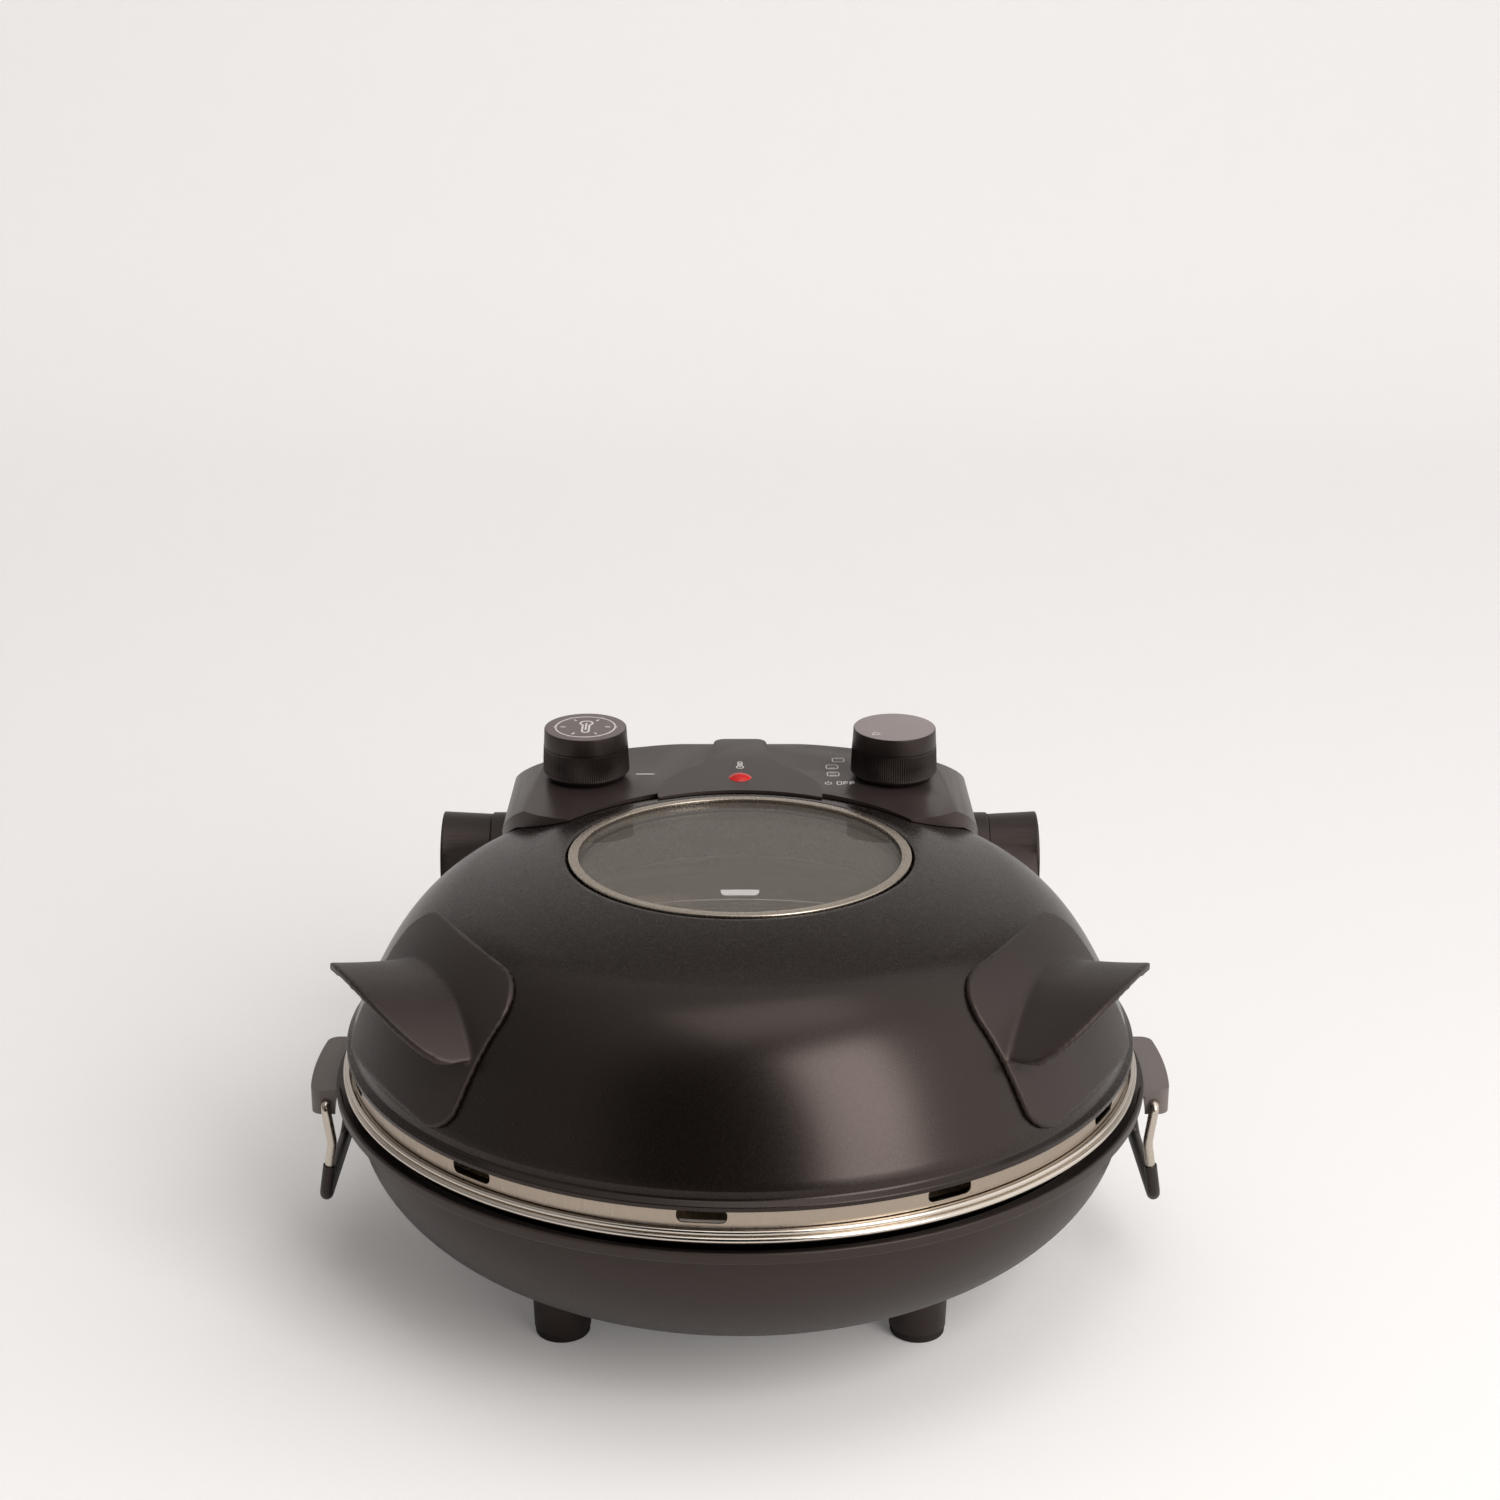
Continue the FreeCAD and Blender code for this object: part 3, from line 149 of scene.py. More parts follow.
def clear(name, colour, rough, ior, through, cover):
    """A smooth clear or translucent body: glass or a lamp lens.

    cover is the share of the light that meets the surface; the rest goes straight through.
    """
    made, tree = new_finish(name)
    place = add(tree, "ShaderNodeTexCoord").outputs["Object"]
    haze = add(tree, "ShaderNodeTexNoise", {"Vector": place, "Scale": grain_sizes(25), "Detail": 2.0})
    spread = add(tree, "ShaderNodeMapRange", {"Value": haze.outputs["Fac"], "To Min": rough,
                                              "To Max": rough + 0.02})
    shader = add(tree, "ShaderNodeBsdfPrincipled", {
        "Base Color": linear(colour), "Roughness": spread.outputs["Result"], "IOR": ior,
        "Transmission Weight": through, "Alpha": cover})
    add(tree, "ShaderNodeOutputMaterial", {"Surface": shader.outputs["BSDF"]})
    return made


# The real grains are finer than these sizes. They are drawn this coarse so that they show.

# Baked satin enamel on pressed steel: near black and warm, with a broad soft highlight.
DOME_ENAMEL = coated("satin_baked_enamel", "#0f0b09", "#120d0b", 0.27, 0.015, 1.4, 0.008)
# Baked matt enamel: a little paler, with a dull even sheen.
BOWL_ENAMEL = coated("matt_baked_enamel", "#211b19", "#26201e", 0.42, 0.03, 1.2, 0.06)
# Baked matt enamel on the thick ear pressings, with painted light: dull, and its colour made clearly paler
# than the bowl's to stand in for the light that falls on the ears.
EAR_ENAMEL_PAINTED_LIGHT = coated("thick_matt_enamel_painted_light", "#6b6461", "#716a67", 0.45, 0.03, 1.2, 0.06)
# Moulded heat-proof plastic with a spark-eroded texture: dull, with a fine grain.
GRIP_PLASTIC = coated("eroded_moulded_plastic", "#1f1918", "#251f1d", 0.44, 0.05, 0.7, 0.2)
# The same plastic with a finer texture on the housing, with a painted sheen: its colour is made paler to
# stand in for the light it catches at a glance along it.
HOUSING_PLASTIC_PAINTED_SHEEN = coated("fine_moulded_plastic_painted_sheen", "#312927", "#362e2c", 0.32, 0.04, 0.7, 0.12)
# Smoother moulded plastic of the knobs: a soft satin sheen.
KNOB_PLASTIC = coated("satin_moulded_plastic", "#15100f", "#1a1514", 0.38, 0.03, 0.6, 0.08)
# Grey satin lacquer on the flat face of a cap: lighter than the plastic, with a faint sheen.
CAP_LACQUER = coated("grey_satin_lacquer", "#918786", "#978d8c", 0.42, 0.03, 0.6, 0.05)
# The same lacquer, darker, under the printed dial.
DIAL_LACQUER = coated("dark_satin_lacquer", "#6b6160", "#716766", 0.42, 0.03, 0.6, 0.05)
# Moulded rubber: black and dull.
PAD_RUBBER = coated("moulded_rubber", "#151312", "#1c1a19", 0.7, 0.05, 0.8, 0.2)
# Dipped vinyl sleeve: black with a faint gloss.
SLEEVE_VINYL = coated("dipped_vinyl", "#1c1a19", "#242221", 0.42, 0.04, 0.9, 0.1)
# White pad-printed ink: flat and slightly broken.
PRINT_INK = coated("pad_printed_ink", "#d4d0cc", "#e4e0dc", 0.6, 0.05, 0.5, 0.05)
# Unglazed fired stone: pale, open-grained and quite dull.
FIRED_STONE = coated("fired_cordierite", "#b9a283", "#d0bb9b", 0.85, 0.05, 1.6, 0.5)
# Unglazed fired ceramic: white and dull.
FIRED_CERAMIC = coated("fired_steatite", "#d8d4cc", "#e6e2da", 0.6, 0.05, 1.0, 0.15)
# Cold-rolled steel brushed upwards: short fine marks and a warm grey.
BAND_STEEL = metal("brushed_sheet_steel", "#aa9d8f", 0.32, (1.0, 1.0, 0.08), 0.9, 0.15)
# Steel inside the dome, dulled by heat: grey-brown, with blurred reflections.
LINER_STEEL = metal("heat_dulled_sheet_steel", "#6e655a", 0.42, (1.0, 1.0, 1.0), 6.0, 0.04)
# Rolled and polished steel beads: bright, with soft-edged reflections.
BEAD_STEEL = metal("polished_rolled_steel", "#cfc6bb", 0.16, (1.0, 1.0, 6.0), 4.0, 0.03)
# Spun steel ring: satin, with a fine even grain.
RING_STEEL = metal("satin_spun_steel", "#b5aa9c", 0.26, (1.0, 1.0, 1.0), 1.2, 0.05)
# Drawn steel wire: bright along its length.
WIRE_STEEL = metal("drawn_steel_wire", "#c6bcb0", 0.24, (3.0, 3.0, 0.2), 1.0, 0.1)
# Steel element sheath dulled by heat: dark and slightly brown.
SHEATH_STEEL = metal("heat_dulled_sheath", "#5a5148", 0.5, (1.0, 1.0, 1.0), 2.0, 0.1)
# Zinc-plated screw steel: pale and satin.
SCREW_STEEL = metal("zinc_plated_steel", "#b8b6b2", 0.3, (1.0, 1.0, 1.0), 0.8, 0.08)
# Toughened float glass: clear, with a slight grey veil and mirrored light.
WINDOW_GLASS = clear("toughened_float_glass", "#8f877e", 0.0, 1.52, 0.0, 0.3)
# Clear red acrylic: glossy, and lit through from the rim.
LAMP_ACRYLIC = clear("red_acrylic", "#d81812", 0.08, 1.49, 0.15, 1.0)


def arc(centre, radius, start, end, steps=9):
    """Points of a circle in a profile, between two angles in degrees."""
    turn = np.radians(np.linspace(start, end, steps))
    return np.column_stack([centre[0] + radius * np.cos(turn), centre[1] + radius * np.sin(turn)])


def bezier(poles, steps=40):
    """Points of a cubic Bezier curve: the four poles weighted by the Bernstein polynomials."""
    t = np.linspace(0, 1, steps)[:, None]
    a, b, c, d = (np.array(pole, float) for pole in poles)
    return (1 - t) ** 3 * a + 3 * t * (1 - t) ** 2 * b + 3 * t ** 2 * (1 - t) * c + t ** 3 * d


def rounded(points, radii, closed=False, steps=6):
    """A polygon in any number of dimensions whose corners are tangent arcs of given radii.

    At each corner the arc is centred on the bisector, at the radius over the sine of the
    half angle; an end point of an open line, and a corner of no radius, stay as they are.
    """
    points = [np.array(point, float) for point in points]
    count = len(points)
    runs = []
    for i, (corner, radius) in enumerate(zip(points, radii)):
        if radius == 0 or (not closed and i in (0, count - 1)):
            runs.append(corner[None])
            continue
        before = points[i - 1] - corner
        after = points[(i + 1) % count] - corner
        before /= np.linalg.norm(before)
        after /= np.linalg.norm(after)
        half = math.acos(np.clip(before @ after, -1, 1)) / 2
        bisector = before + after
        bisector /= np.linalg.norm(bisector)
        side = before - after
        side /= np.linalg.norm(side)
        middle = corner + bisector * (radius / math.sin(half))
        turn = np.linspace(math.pi / 2 - half, half - math.pi / 2, steps)[:, None]
        runs.append(middle - radius * (np.cos(turn) * bisector - np.sin(turn) * side))
    return np.vstack(runs)


def axis_frame(origin, along):
    """Origin and three unit directions, the third along an axis and the first near X."""
    along = np.array(along, float) / np.linalg.norm(along)
    first = np.array([0.0, 1.0, 0.0]) if abs(along[0]) > 0.9 else np.array([1.0, 0.0, 0.0])
    second = np.cross(along, first)
    second /= np.linalg.norm(second)
    return np.array(origin, float), np.cross(second, along), second, along


BOWL_FRAME = axis_frame((0, AXIS_Y, 0), (0, 0, 1))


def turned(profile, steps=ROUND_STEPS, about=BOWL_FRAME):
    """A profile of (radius, height) carried once round an axis, as a grid of points."""
    origin, first, second, along = about
    turn = np.linspace(0, 2 * np.pi, steps, endpoint=False)
    spoke = np.cos(turn)[:, None] * first + np.sin(turn)[:, None] * second
    profile = np.array(profile, float)
    return origin + profile[:, :1, None] * spoke + profile[:, 1:, None] * along


def swept(path, radius, steps=20):
    """A round wire: a circle carried along a path, turned as little as the path allows.

    The circle's two directions at each point are the part of a fixed direction that is
    square to the path, and the cross product with the path's own direction. The ends
    are closed by drawing the last circles in to the path.
    """
    path = np.array(path, float)
    along = np.gradient(path, axis=0)
    along /= np.linalg.norm(along, axis=1)[:, None]
    fixed = np.array([1.0, 0.0, 0.0])
    first = fixed - (along @ fixed)[:, None] * along
    first /= np.linalg.norm(first, axis=1)[:, None]
    second = np.cross(along, first)
    turn = np.linspace(0, 2 * np.pi, steps, endpoint=False)
    ring = np.cos(turn)[None, :, None] * first[:, None] + np.sin(turn)[None, :, None] * second[:, None]
    body = path[:, None] + radius * ring
    start = np.repeat(path[:1, None], steps, axis=1)
    end = np.repeat(path[-1:, None], steps, axis=1)
    return np.concatenate([start, body, end])


def grid_mesh(name, grids):
    """One mesh from grids of points in millimetres.

    Each grid is (points, rows closed, columns closed); every cell is a quad between
    neighbouring rows and columns. Doubled points are merged, so poles and seams close.
    """
    vertices = []
    faces = []
    start = 0
    for points, rows_closed, columns_closed in grids:
        rows, columns = points.shape[:2]
        index = np.arange(rows * columns).reshape(rows, columns) + start
        if rows_closed:
            index = np.vstack([index, index[:1]])
        if columns_closed:
            index = np.hstack([index, index[:, :1]])
        quads = np.stack([index[:-1, :-1], index[:-1, 1:], index[1:, 1:], index[1:, :-1]], axis=-1)
        vertices.append(points.reshape(-1, 3) * MM)
        faces.append(quads.reshape(-1, 4))
        start += rows * columns
    mesh = bpy.data.meshes.new(name)
    mesh.from_pydata(np.vstack(vertices).tolist(), [], np.vstack(faces).tolist())
    return merged(mesh)


def merged(mesh):
    """Merge doubled points, point the faces outwards and shade them smooth up to the crease."""
    edit = bmesh.new()
    edit.from_mesh(mesh)
    bmesh.ops.remove_doubles(edit, verts=edit.verts, dist=SAME_POINT)
    bmesh.ops.dissolve_degenerate(edit, edges=edit.edges, dist=EMPTY_EDGE)
    bmesh.ops.recalc_face_normals(edit, faces=edit.faces)
    edit.to_mesh(mesh)
    edit.free()
    mesh.shade_smooth()
    mesh.set_sharp_from_angle(angle=CREASE)
    return mesh


def placed(mesh, name, body, slot, finish, *nodes):
    """Make a mesh a piece that rides on a body and stands for the given CAD nodes."""
    made = bpy.data.objects.new(name, mesh)
    bpy.context.scene.collection.objects.link(made)
    made.data.materials.clear()
    made.data.materials.append(finish)
    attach(made, body)
    if nodes:
        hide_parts(*nodes)
    return made


def piece(name, body, slot, finish, grids, *nodes):
    """A new piece from grids of points."""
    return placed(grid_mesh(name, grids), name, body, slot, finish, *nodes)


def second_finish(made, finish, chosen):
    """Give a piece a second finish on the faces whose middles, in millimetres, are chosen."""
    made.data.materials.append(finish)
    middles = np.empty(len(made.data.polygons) * 3)
    made.data.polygons.foreach_get("center", middles)
    made.data.polygons.foreach_set("material_index", chosen(middles.reshape(-1, 3) / MM).astype(np.int32))


def softened(node, body, slot, finish, width):
    """A merged copy of a CAD piece whose edges are broken by a small bevel.

    The bevel's width is in millimetres, and a width of 0 leaves the edges as they are.
    """
    name = node + "_soft"
    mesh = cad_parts[node].data.copy()
    mesh.name = name
    edit = bmesh.new()
    edit.from_mesh(mesh)
    bmesh.ops.remove_doubles(edit, verts=edit.verts, dist=CAD_SAME_POINT)
    bmesh.ops.dissolve_limit(edit, angle_limit=FLAT_WITHIN, verts=edit.verts, edges=edit.edges)
    edit.to_mesh(mesh)
    edit.free()
    made = placed(merged(mesh), name, body, slot, finish, node)
    if width:
        bevel = made.modifiers.new("broken_edge", "BEVEL")
        bevel.width = width * MM
        bevel.segments = 3
        bevel.limit_method = "ANGLE"
        bevel.angle_limit = BEVEL_FROM
        bevel.harden_normals = False
    return made


def moulded(node, body, slot, finish, grain):
    """A merged copy of a CAD piece with all its edges rounded, as a moulding's are.

    The skin is laid again in even cells of the given size and relaxed, which rounds each edge
    by about two cells.
    """
    made = softened(node, body, slot, finish, 0)
    skin = made.modifiers.new("even_skin", "REMESH")
    skin.mode = "VOXEL"
    skin.voxel_size = grain * MM
    skin.use_smooth_shade = True
    relaxed = made.modifiers.new("rounded_edge", "SMOOTH")
    relaxed.factor = 0.5
    relaxed.iterations = 8
    return made


def painted(node, finish):
    """Give a CAD piece that stays as it is a better finish."""
    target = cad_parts[node]
    target.data.materials.clear()
    target.data.materials.append(finish)


# Base

BOWL_FLAT_R = 66.0
BOWL_R = 160.0
BOWL_WALL_Z = 77.0
BOWL_BOTTOM_Z = 16.0
BOWL_SKIN = 1.6
# Height at which the wall begins to turn out, and the size of the cove under the flange
TURN_Z = 80.0
COVE = 3.0
GUTTER_Z = 85.6
LIP_R = 168.0
LIP_Z = 88.4
NOTCH_HALF = 27.5
NOTCH_RAMP = 3.0


def bowl_arc(inset, steps=40):
    """The bowl's quarter ellipse from its flat bottom to its upright wall, drawn in by an inset."""
    turn = np.radians(np.linspace(270, 360, steps))
    wide = BOWL_R - BOWL_FLAT_R - inset
    deep = BOWL_WALL_Z - BOWL_BOTTOM_Z - inset
    return np.column_stack([BOWL_FLAT_R + wide * np.cos(turn), BOWL_WALL_Z + deep * np.sin(turn)])


def bowl_height(radius):
    """Height of the bowl's underside at a distance from its axis."""
    share = np.clip((radius - BOWL_FLAT_R) / (BOWL_R - BOWL_FLAT_R), 0, 1)
    return BOWL_WALL_Z - (BOWL_WALL_Z - BOWL_BOTTOM_Z) * np.sqrt(1 - share ** 2)


def make_bowl():
    """Pressed bowl: the ellipse, a coved flange and an upturned lip that stops short at the ears.

    The lip's height above the gutter's floor is multiplied by a smooth step of the distance
    along Y, which is 0 at the ears and 1 elsewhere.
    """
    outside = bowl_arc(0)
    wall = BOWL_R - BOWL_SKIN
    lip = LIP_R - BOWL_SKIN
    under = GUTTER_Z - BOWL_SKIN
    rim = rounded([(BOWL_R, TURN_Z), (BOWL_R, under - COVE), (BOWL_R + COVE, under), (LIP_R, under),
                   (LIP_R, LIP_Z), (lip, LIP_Z), (lip, GUTTER_Z), (wall, GUTTER_Z), (wall, TURN_Z)],
                  [0, 1.5, 2, 0.9, 0.55, 0.55, 0.9, 2, 0])
    inside = bowl_arc(BOWL_SKIN)[::-1]
    profile = np.vstack([[(0, BOWL_BOTTOM_Z)], outside, rim, inside, [(0, BOWL_BOTTOM_Z + BOWL_SKIN)]])
    points = turned(profile, 2 * ROUND_STEPS)
    away = np.clip((np.abs(points[..., 1] - AXIS_Y) - NOTCH_HALF) / NOTCH_RAMP, 0, 1)
    above = np.clip(points[..., 2] - GUTTER_Z, 0, None)
    points[..., 2] -= above * (1 - away * away * (3 - 2 * away))
    piece("bowl_shell", "base", "bowl_paint", BOWL_ENAMEL, [(points, False, True)], "base_bowl")


PAN_SKIN = 1.0
PAN_FLOOR_Z = 52.0
PAN_LEDGE_Z = 75.0
PAN_TOP_Z = 95.3
PAN_WALL_R = 153.5
# Radii of the flat floor, of the slope's foot and of its top; the slope's underside is a little wider.
PAN_FLOOR_R = 100.0
PAN_SLOPE_R = (116.0, 143.0)
PAN_SLOPE_OUT = 0.6
# Middle and radius of each rolled bead in the profile, where the upper one starts, and the hem behind
UPPER_BEAD = ((162.85, 94.15), 1.15)
LOWER_BEAD = ((163.65, 91.65), 1.35)
BEAD_START_R = 160.0
HEM_R = 161.85
HEM_Z = 90.3


def make_pan():
    """Pressed pan whose rim is rolled into two stacked beads with a fine groove between them."""
    foot, head = PAN_SLOPE_R
    inside = rounded([(PAN_FLOOR_R, PAN_FLOOR_Z), (foot, PAN_FLOOR_Z), (head, PAN_LEDGE_Z),
                      (PAN_WALL_R, PAN_LEDGE_Z), (PAN_WALL_R, PAN_TOP_Z), (BEAD_START_R, PAN_TOP_Z)],
                     [0, 6, 3, 1.5, 2, 0])
    upper = arc(*UPPER_BEAD, 100, -75, 12)
    lower = arc(*LOWER_BEAD, 75, -120, 14)
    wall = PAN_WALL_R + PAN_SKIN
    top, ledge, floor = (z - PAN_SKIN for z in (PAN_TOP_Z, PAN_LEDGE_Z, PAN_FLOOR_Z))
    under = rounded([(HEM_R, HEM_Z), (HEM_R, top), (wall, top), (wall, ledge),
                     (head + PAN_SLOPE_OUT, ledge), (foot + PAN_SLOPE_OUT, floor), (PAN_FLOOR_R, floor)],
                    [0, 0.5, 1.5, 1.5, 3, 6, 0])
    profile = np.vstack([[(0, PAN_FLOOR_Z)], inside, upper, lower, under, [(0, floor)]])
    piece("pan_shell", "base", "pan_steel", BEAD_STEEL, [(turned(profile), False, True)], "heat_pan")


FOOT_PLACE = 71.5
FOOT_R = 12.0
FOOT_DRAFT = 0.6
FOOT_GAP = 0.05
# Rows of a post from the middle of its underside to the middle of its top: shares of radius and height
FOOT_SPREAD = np.array([0, 0.6, 1, 1, 1, 1, 1, 0.6, 0])[:, None]
FOOT_CLIMB = np.array([0, 0, 0, 0.04, 0.4, 0.8, 1, 1, 1])[:, None]
PAD_R = 11.0
PAD_THICK = 3.5


def make_feet():
    """Feet: round posts with a slight draft, whose tops follow the bowl, on pads with rounded edges."""
    turn = np.linspace(0, 2 * np.pi, SMALL_STEPS, endpoint=False)
    for row, y in (("front", -FOOT_PLACE), ("rear", FOOT_PLACE)):
        for side, x in (("left", -FOOT_PLACE), ("right", FOOT_PLACE)):
            radius = (FOOT_R - FOOT_DRAFT * (1 - FOOT_CLIMB)) * FOOT_SPREAD
            px = x + radius * np.cos(turn)
            py = y + radius * np.sin(turn)
            top = bowl_height(np.hypot(px, py)) - FOOT_GAP
            pz = PAD_THICK + (top - PAD_THICK) * FOOT_CLIMB
            points = np.stack([px, py + AXIS_Y, pz], axis=-1)
            name = f"{row}_{side}_foot"
            piece(name + "_post", "base", "black_plastic", GRIP_PLASTIC, [(points, False, True)], name)
            pad = rounded([(0, 0), (PAD_R, 0), (PAD_R, PAD_THICK), (0, PAD_THICK)], [0, 1.0, 0.2, 0])
            about = axis_frame((x, y + AXIS_Y, 0), (0, 0, 1))
            name = f"{row}_{side}_pad"
            piece(name + "_disc", "base", "rubber", PAD_RUBBER,
                  [(turned(pad, SMALL_STEPS, about), False, True)], name)


# Bails

BAIL_Y = 29.0
BAIL_ROUTE = ((170.5, 20.0, 78.5), (170.5, BAIL_Y, 78.5), (168.4, BAIL_Y, 62.0), (172.4, BAIL_Y, 37.0))
BAR_BEND = 4.5
BAIL_BENDS = (0, 2.4, 14.0, BAR_BEND)
WIRE_R = 2.0
SLEEVE_R = 2.7
SLEEVE_UP = 15.0


def make_bails():
    """Bails: drawn wire bent to the ear's holes, with a dipped sleeve on the bar."""
    for side, name in ((1, "right_bail"), (-1, "left_bail")):
        flip = np.array([side, 1, 1])
        half = np.array(BAIL_ROUTE)
        route = np.vstack([half, half[::-1] * (1, -1, 1)])
        path = rounded(route, BAIL_BENDS + BAIL_BENDS[::-1], steps=12) * flip + (0, AXIS_Y, 0)
        piece(name + "_rod", name, "plain_steel", WIRE_STEEL, [(swept(path, WIRE_R), False, True)],
              name + "_wire")
        waist, bar = half[2], half[3]
        up = (waist - bar) / np.linalg.norm(waist - bar)
        ends = np.array([bar + up * SLEEVE_UP, bar, bar * (1, -1, 1), (bar + up * SLEEVE_UP) * (1, -1, 1)])
        path = rounded(ends, (0, BAR_BEND, BAR_BEND, 0), steps=12) * flip + (0, AXIS_Y, 0)
        piece(name + "_cover", name, "rubber", SLEEVE_VINYL, [(swept(path, SLEEVE_R), False, True)],
              name + "_sleeve")


# Lid

DOME_SKIN = 1.2
DOME_TOP = (74.0, 178.6)
DOME_POLES = ((116.3, 166.7), (140.5, 153.6), (149.1, 131.8), (161.2, 106.4))
DOME_INNER_POLES = ((116.0, 165.4), (139.8, 152.6), (148.0, 131.3), (159.0, 107.5))
CREASE_R = 40.0
# Length of the curve that the crease takes up, and the height at which the ridge begins
CREASE_REACH = 8.0
RIDGE_Z = 110.4
# Corners of the ridge and of the waist under it, and the sizes of the flange and of the window's neck
RIDGE_CORNER = (159.7, 108.9)
WAIST_CORNER = (160.3, 105.7)
WAIST_INSIDE = (159.2, 105.3)
FLANGE_R = 163.0
FLANGE_TOP_Z = 104.4
FLANGE_FOOT_Z = 102.5
NECK_R = 72.5
NECK_FOOT_Z = 172.5


def make_dome():
    """Pressed dome: a cone and a cubic curve that meet in a soft crease, a rounded ridge and a flange.

    The crease is an arc tangent to both; the curve goes on from where the arc ends.
    """
    side = bezier(DOME_POLES, 80)
    far = np.linalg.norm(side - side[0], axis=1)
    side = side[(far > CREASE_REACH) & (side[:, 1] > RIDGE_Z)]
    top = rounded([DOME_TOP, DOME_POLES[0], side[0]], [0, CREASE_R, 0], steps=12)
    hem = FLANGE_R - DOME_SKIN
    skirt = rounded([side[-1], RIDGE_CORNER, WAIST_CORNER, (FLANGE_R, FLANGE_TOP_Z),
                     (FLANGE_R, FLANGE_FOOT_Z), (hem, FLANGE_FOOT_Z), (hem, FLANGE_FOOT_Z + DOME_SKIN),
                     WAIST_INSIDE], [0, 2.6, 1.6, 0.7, 0.25, 0.25, 0.5, 0])
    inner = bezier(DOME_INNER_POLES)[::-1]
    bore = NECK_R - DOME_SKIN
    under = DOME_TOP[1] - DOME_SKIN
    neck = rounded([(NECK_R + DOME_SKIN, under), (NECK_R, under), (NECK_R, NECK_FOOT_Z),
                    (bore, NECK_FOOT_Z), (bore, DOME_TOP[1]), DOME_TOP], [0, 0, 0.2, 0.2, 0.9, 0])
    profile = np.vstack([top[:-1], side, skirt[1:], inner[1:], neck[:-1]])
    piece("dome_shell", "lid", "dome_paint", DOME_ENAMEL, [(turned(profile), True, True)], "lid_dome")


# Trim ring: inner and outer radii, top and foot, and the thickness of its top and of its wall
RING_R = (66.2, 70.3)
RING_TOP_Z = 179.3
RING_FOOT_Z = 172.4
RING_TOP_THICK = 1.3
RING_WALL = 1.2
GLASS_R = 68.4
GLASS_Z = (173.6, 177.7)
# Well: flange's radii, outer radii of its flared wall from top to foot, heights and thickness
WELL_FLANGE_R = (65.4, 72.5)
WELL_WALL_R = (71.1, 75.0)
WELL_TOP_Z = 172.4
WELL_FOOT_Z = 150.0
WELL_SKIN = 0.8
# The well is bare steel below this height.
WELL_RIM_Z = 150.6


def make_window():
    """Window: trim ring with broken edges, flat glass and the flared well below it."""
    bore, edge = RING_R
    ledge = RING_TOP_Z - RING_TOP_THICK
    inside = edge - RING_WALL
    ring = rounded([(bore, ledge), (bore, RING_TOP_Z), (edge, RING_TOP_Z), (edge, RING_FOOT_Z),
                    (inside, RING_FOOT_Z), (inside, ledge)], [0.2, 0.35, 0.6, 0.1, 0.1, 0.1], closed=True)
    piece("trim_ring", "lid", "pan_steel", RING_STEEL, [(turned(ring), True, True)], "window_ring")
    low, high = GLASS_Z
    glass = rounded([(0, low), (GLASS_R, low), (GLASS_R, high), (0, high)], [0, 0.6, 0.6, 0])
    piece("glass_disc", "lid", "window_glass", WINDOW_GLASS, [(turned(glass), False, True)], "window_glass")
    bore, edge = WELL_FLANGE_R
    head, foot = WELL_WALL_R
    under = WELL_TOP_Z - WELL_SKIN
    well = rounded([(bore, under), (bore, WELL_TOP_Z), (edge, WELL_TOP_Z), (edge, under), (head, under),
                    (foot, WELL_FOOT_Z), (foot - WELL_SKIN, WELL_FOOT_Z), (head - WELL_SKIN, under)],
                   [0.2, 0.2, 0.2, 0.2, 0.3, 0.2, 0.2, 0.3], closed=True)
    made = piece("well_sleeve", "lid", "pan_steel", DOME_ENAMEL, [(turned(well), True, True)],
                 "window_well")
    second_finish(made, BEAD_STEEL, lambda middle: middle[:, 2] < WELL_RIM_Z)


# Knobs, lamp and printed marks

PANEL_TILT = math.radians(2.2)
PANEL_FRONT = (80.0, 176.6)
PANEL_NORMAL = (0.0, -math.sin(PANEL_TILT), math.cos(PANEL_TILT))
KNOB_X = 69.0
KNOB_Y = 104.0 + AXIS_Y
LAMP_Y = 94.7 + AXIS_Y
PLATFORM_RISE = 2.4
CAP_FOOT = 15.2
CAP_TOP = 23.0
# Radii of the cap at its foot and at its face
CAP_R = (18.75, 18.3)
# The lacquer covers what lies within this distance of the cap's top.
LACQUER_BAND = 0.02
# Corners of the skirt's smooth foot, and points of its slightly drawn-in side
SKIRT_FOOT = ((0, 0.6), (17.3, 0.6), (19.4, 3.0))
SKIRT_FOOT_R = 19.36
SKIRT_SIDE_R = (19.34, 19.1, 18.87, 18.85)
SKIRT_MIDDLE = 9.0
SKIRT_SHOULDER = (18.8, 15.1)
RIBS = 120
RIB_STEPS = 6
RIB_DEEP = 0.3
RIB_FOOT = 3.4
RIB_TOP = 14.7
RIB_FADE = 0.5


def panel_height(y):
    """Height of the tilted panel, which rises from its front line, the y being in the part's frame."""
    return PANEL_FRONT[1] + math.tan(PANEL_TILT) * (y - AXIS_Y - PANEL_FRONT[0])


def panel_frame(x, y, lift=0.0):
    """Directions on the panel at a place: X, up the panel, and its normal."""
    origin, first, second, along = axis_frame((x, y, panel_height(y)), PANEL_NORMAL)
    return origin + along * lift, first, second, along


